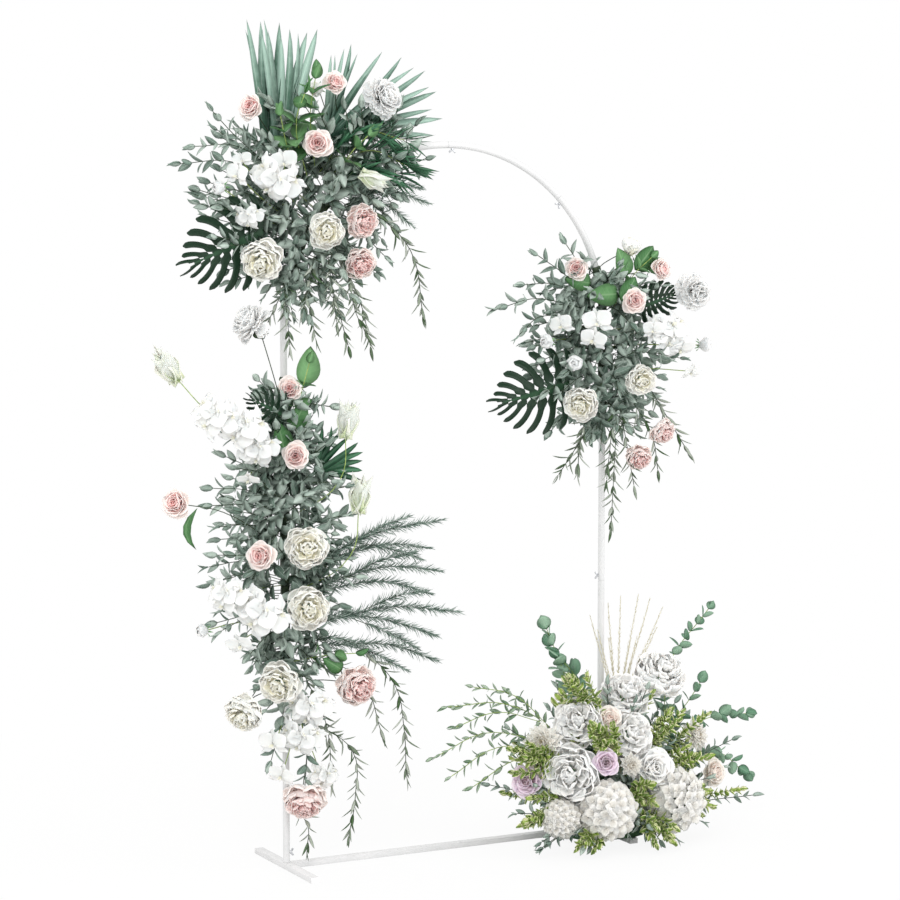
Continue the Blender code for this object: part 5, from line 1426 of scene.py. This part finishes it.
flowers(BASE, "roses", "white_silk", [
    ("full white rose", 131, -120, 475, 0, 50, 140), ("full white rose", -2, -140, 425, -10, 45, 130),
    ("full white rose", -195, -210, 375, -35, 20, 128), ("white rose", 22, -270, 232, -10, 15, 122),
    ("full white rose", -240, -245, 235, -40, 5, 150), ("full white rose", -45, -235, 330, -5, 20, 132)])
flowers(BASE, "dahlias", "lilac_silk", [
    ("blush rose", -104, -230, 380, -20, 30, 78), ("ivory dahlia", -300, -190, 322, -45, 10, 112),
    ("ivory dahlia", -60, -280, 250, -5, 5, 70), ("lilac rose", -150, -290, 268, -25, 10, 78),
    ("lilac rose", -350, -190, 215, -45, 5, 96)])
flowers(BASE, "hydrangeas", "cream_silk", [
    ("hydrangea", -140, -280, 130, -25, 0, 165), ("hydrangea", 95, -250, 130, 10, 0, 185),
    ("hydrangea", -265, -240, 110, -45, 0, 110), ("peach rose", 295, -160, 172, 15, 5, 88),
    ("ivory dahlia", 225, -170, 290, 20, 15, 100)])

# %% [markdown]
# Eucalyptus rises to the right and grey-green sprays reach out to the left. A row of dried
# plumes stands in the middle: their tips follow a wave, because they are cut to unlike lengths.

# %% Greenery of the foot
finish_piece(leafed("sprays_base_eucalyptus", "eucalyptus", runs_from(
    BASE, [(0, -120, 160), (160, -80, 330), (180, -80, 480), (316, -80, 640)],
    [(0, -120, 120), (190, -80, 240), (300, -100, 320), (430, -110, 325)],
    [(0, -120, 120), (160, -80, 280), (240, -100, 380), (270, -110, 430)],
    [(0, -120, 80), (190, -80, 150), (320, -100, 220), (430, -110, 150)]), 16),
    "sage_leaf", "base_eucalyptus")

dice = random.Random(33)
plumes = []
for i in range(11):
    tip = Vector((-0.075 + 0.024 * i, -0.065, 0.56 + 0.13 * math.sin(0.9 + 1.7 * i) ** 2))
    points = (Vector((0, -0.12, 0.16)), Vector((0.005 + 0.004 * i, -0.065, 0.38)),
              tip + Vector((0.02 * dice.uniform(-1, 1), 0, 0)))
    plumes.append([BASE.anchor + point for point in points])
finish_piece(leafed("sprays_base_plumes", "plume", plumes, 17, Radius=0.0007),
             "dried_grass", "base_grass_plumes")

willow = leafed("willow", "spray", runs_from(
    BASE, [(-50, -130, 150), (-180, -100, 300), (-390, -150, 430), (-586, -170, 443)],
    [(-50, -130, 120), (-180, -145, 240), (-420, -130, 350), (-620, -150, 301)],
    [(-240, -120, 350), (-360, -140, 450), (-500, -160, 490)],
    [(-280, -140, 370), (-420, -150, 410), (-560, -170, 385)],
    [(-250, -140, 280), (-420, -150, 310), (-570, -160, 245)],
    [(-220, -140, 270), (-360, -150, 270), (-500, -160, 210)]), 18)
round_leaves = leafed("round_leaves", "eucalyptus", runs_from(
    BASE, [(-20, -120, 150), (-110, -60, 360), (-180, -80, 520), (-224, -80, 620)],
    [(-20, -120, 150), (-100, -80, 400), (-130, -90, 470), (-190, -90, 540)]), 19,
    Spacing=0.026, Spread=60, Size=0.060, Tip_size=0.8, Bare=0.35)
finish_piece(joined("sprays_base_willow", [willow, round_leaves]), "pale_green_leaf", "base_willow")

# %% [markdown]
# The foam block is hidden by short runs of sage and box: some in a half round behind the
# flowers, and some that come out between them, round the places listed here.

# %% Foam and its greenery
GOLDEN_SHARE = 0.618034
FOAM_SIZE = (0.13, 0.105, 0.19)
FOAM_FOOT = 0.0165
CLUSTERS = [(-190, -190, 460), (100, -220, 330), (-150, -280, 330), (-320, -220, 130), (190, -240, 120),
            (-220, -300, 50), (20, -330, 50), (-30, -300, 170), (-380, -200, 280), (200, -200, 220)]
BEHIND = [(-140, 50, 80), (-40, 70, 60), (60, 50, 80), (-100, 40, 220), (20, 50, 220),
          (-200, 20, 120), (120, 20, 140), (-50, 50, 140)]
FRONT_LOW = [(-300, -240, 40), (-200, -280, 40), (-60, -310, 60), (50, -310, 40), (160, -270, 50),
             (-40, -260, 160), (200, -180, 100), (-150, -220, 240), (100, -200, 300)]


def floor_swag(count, seed, near=0.16, far=0.40):
    """Runs from the foam block out to tips over a half round, for small clustered leaves."""
    dice = random.Random(seed)
    runs = []
    for i in range(count):
        angle = math.radians(-4 + 188 * (i * GOLDEN_SHARE % 1))
        reach = near + (far - near) * math.sqrt((i + 0.5) / count)
        tip = BASE.anchor + Vector((-0.02 + reach * math.cos(angle), dice.uniform(-0.24, -0.02),
                                    0.12 + reach * 0.9 * math.sin(angle)))
        root = BASE.anchor + Vector((FOAM_X + 0.08 * math.cos(angle), -0.10, 0.05 + 0.12 * math.sin(angle)))
        runs.append([root, root.lerp(tip, 0.5) + Vector((0, -0.01, 0.015)), tip])
    return runs


def foam_swag(count, seed, places, root_y=-0.16):
    """Short runs that come out of the foam between the flowers before it, or behind it."""
    loose = 0.045
    dice = random.Random(seed)
    runs = []
    for i in range(count):
        x, y, z = (distance / 1000 for distance in places[i % len(places)])
        tip = BASE.anchor + Vector((x + dice.uniform(-loose, loose), y + dice.uniform(-0.02, 0.02),
                                    max(0.035, z + dice.uniform(-loose, loose))))
        root = BASE.anchor + Vector((FOAM_X + 0.3 * (x - FOAM_X), root_y, 0.06 + 0.4 * z))
        runs.append([root, root.lerp(tip, 0.6) + Vector((0, -0.02 if root_y < -0.1 else 0.02, 0.02)), tip])
    return runs


sage_runs = floor_swag(36, 31) + foam_swag(36, 34, FRONT_LOW) + foam_swag(28, 36, BEHIND, -0.03)
sage = leafed("sage", "sage", sage_runs, 20, Spacing=0.028, Size=0.056, Bare=0.25)
box_leaves = leafed("box_leaves", "box", floor_swag(16, 32, 0.20, 0.36) + foam_swag(64, 35, CLUSTERS), 21)
bm = bmesh.new()
bmesh.ops.create_icosphere(bm, subdivisions=4, radius=1)
width, depth, height = FOAM_SIZE
for vert in bm.verts:
    lump = 1 + 0.05 * math.sin(9 * vert.co.x + 2) * math.sin(8 * vert.co.z) + 0.03 * math.sin(21 * vert.co.y)
    vert.co = Vector((width * vert.co.x, depth * vert.co.y, height * max(vert.co.z, 0.004))) * lump
    vert.co += BASE.anchor + Vector((FOAM_X, -0.09, FOAM_FOOT if vert.co.z < 0.01 else 0.0))
foam = from_bmesh("foam", bm, FOAM)
finish_piece(joined("greens_base", [sage, box_leaves, foam]), "sage_leaf", "base_foliage")

# %% [markdown]
# ## Floor and light
# A plain pale floor and backdrop, large soft lamps and a pale world. The floor reads white to
# the camera and keeps its own grey for the light, so it adds nothing to the object.


# %% Floor, backdrop and light
def directly_seen(tree):
    """1 for what the camera, gloss and glass see, and 0 for the light."""
    seen = node(tree, "ShaderNodeLightPath", (), "Is Camera Ray")
    return seen.larger(seen.other("Is Glossy Ray").larger(seen.other("Is Transmission Ray")))


def stage_finish():
    """White as the camera, gloss and glass see it, and pale grey for the light. Under the arch
    it lets a little of its lit side through, so that the floor keeps a faint shadow."""
    made, tree, _ = new_material("stage", Base_Color=(0.75, 0.75, 0.75, 1), Roughness=0.9)
    away = node(tree, "ShaderNodeVectorMath", {0: object_place(tree)}, 1, operation='LENGTH')
    cover = away.ramp(0.7, 2.2, 0.90, 1.0)
    glow = node(tree, "ShaderNodeEmission", {"Color": (1, 1, 1), "Strength": 1.0})
    lit = Value(tree.nodes["Principled BSDF"].outputs[0])
    mix = node(tree, "ShaderNodeMixShader", {0: directly_seen(tree) * cover, 1: lit, 2: glow})
    link(tree.nodes["Material Output"].inputs, Surface=mix)
    return made


bm = bmesh.new()
bmesh.ops.create_grid(bm, x_segments=2, y_segments=2, size=30)
from_bmesh("floor", bm, stage_finish())
print("floor set")

# %% [markdown]
# The world is pale but shows white to the camera, as the floor does, so there is no horizon.
# Two lamps shape the petals: a key from the front left and a weaker fill from the right.

# %% World and lamps
world = bpy.data.worlds.new("world")
world.use_nodes = True
scene.world = world
sky = world.node_tree
sky.nodes.clear()
ambient = node(sky, "ShaderNodeBackground", {0: (1.0, 0.99, 0.98), 1: 1.14})
white = node(sky, "ShaderNodeBackground", {0: (1, 1, 1), 1: 1.0})
link(sky.nodes.new("ShaderNodeOutputWorld").inputs,
     Surface=node(sky, "ShaderNodeMixShader", {0: directly_seen(sky), 1: ambient, 2: white}))


LAMP_AIM = Vector((0, 0, 1.1))


def soft_lamp(name, place, size, power):
    """A large square lamp turned towards the middle of the arch."""
    lamp = bpy.data.lights.new(name, 'AREA')
    lamp.size = size
    lamp.energy = power
    made = bpy.data.objects.new(name, lamp)
    made.location = place
    made.rotation_euler = (LAMP_AIM - Vector(place)).to_track_quat('-Z', 'Y').to_euler()
    scene.collection.objects.link(made)


soft_lamp("key", (-3.2, -4.2, 4.2), 2.5, 140)
soft_lamp("fill", (4.0, -3.6, 2.8), 3.0, 75)
print("world and lamps set")

# %% [markdown]
# ## Clearing up
# The patterns are taken away.

# %% Remove the patterns and finish
for pattern in (*HEADS.values(), *PETALS.values(), *LEAVES.values()):
    bpy.data.objects.remove(pattern, do_unlink=True)
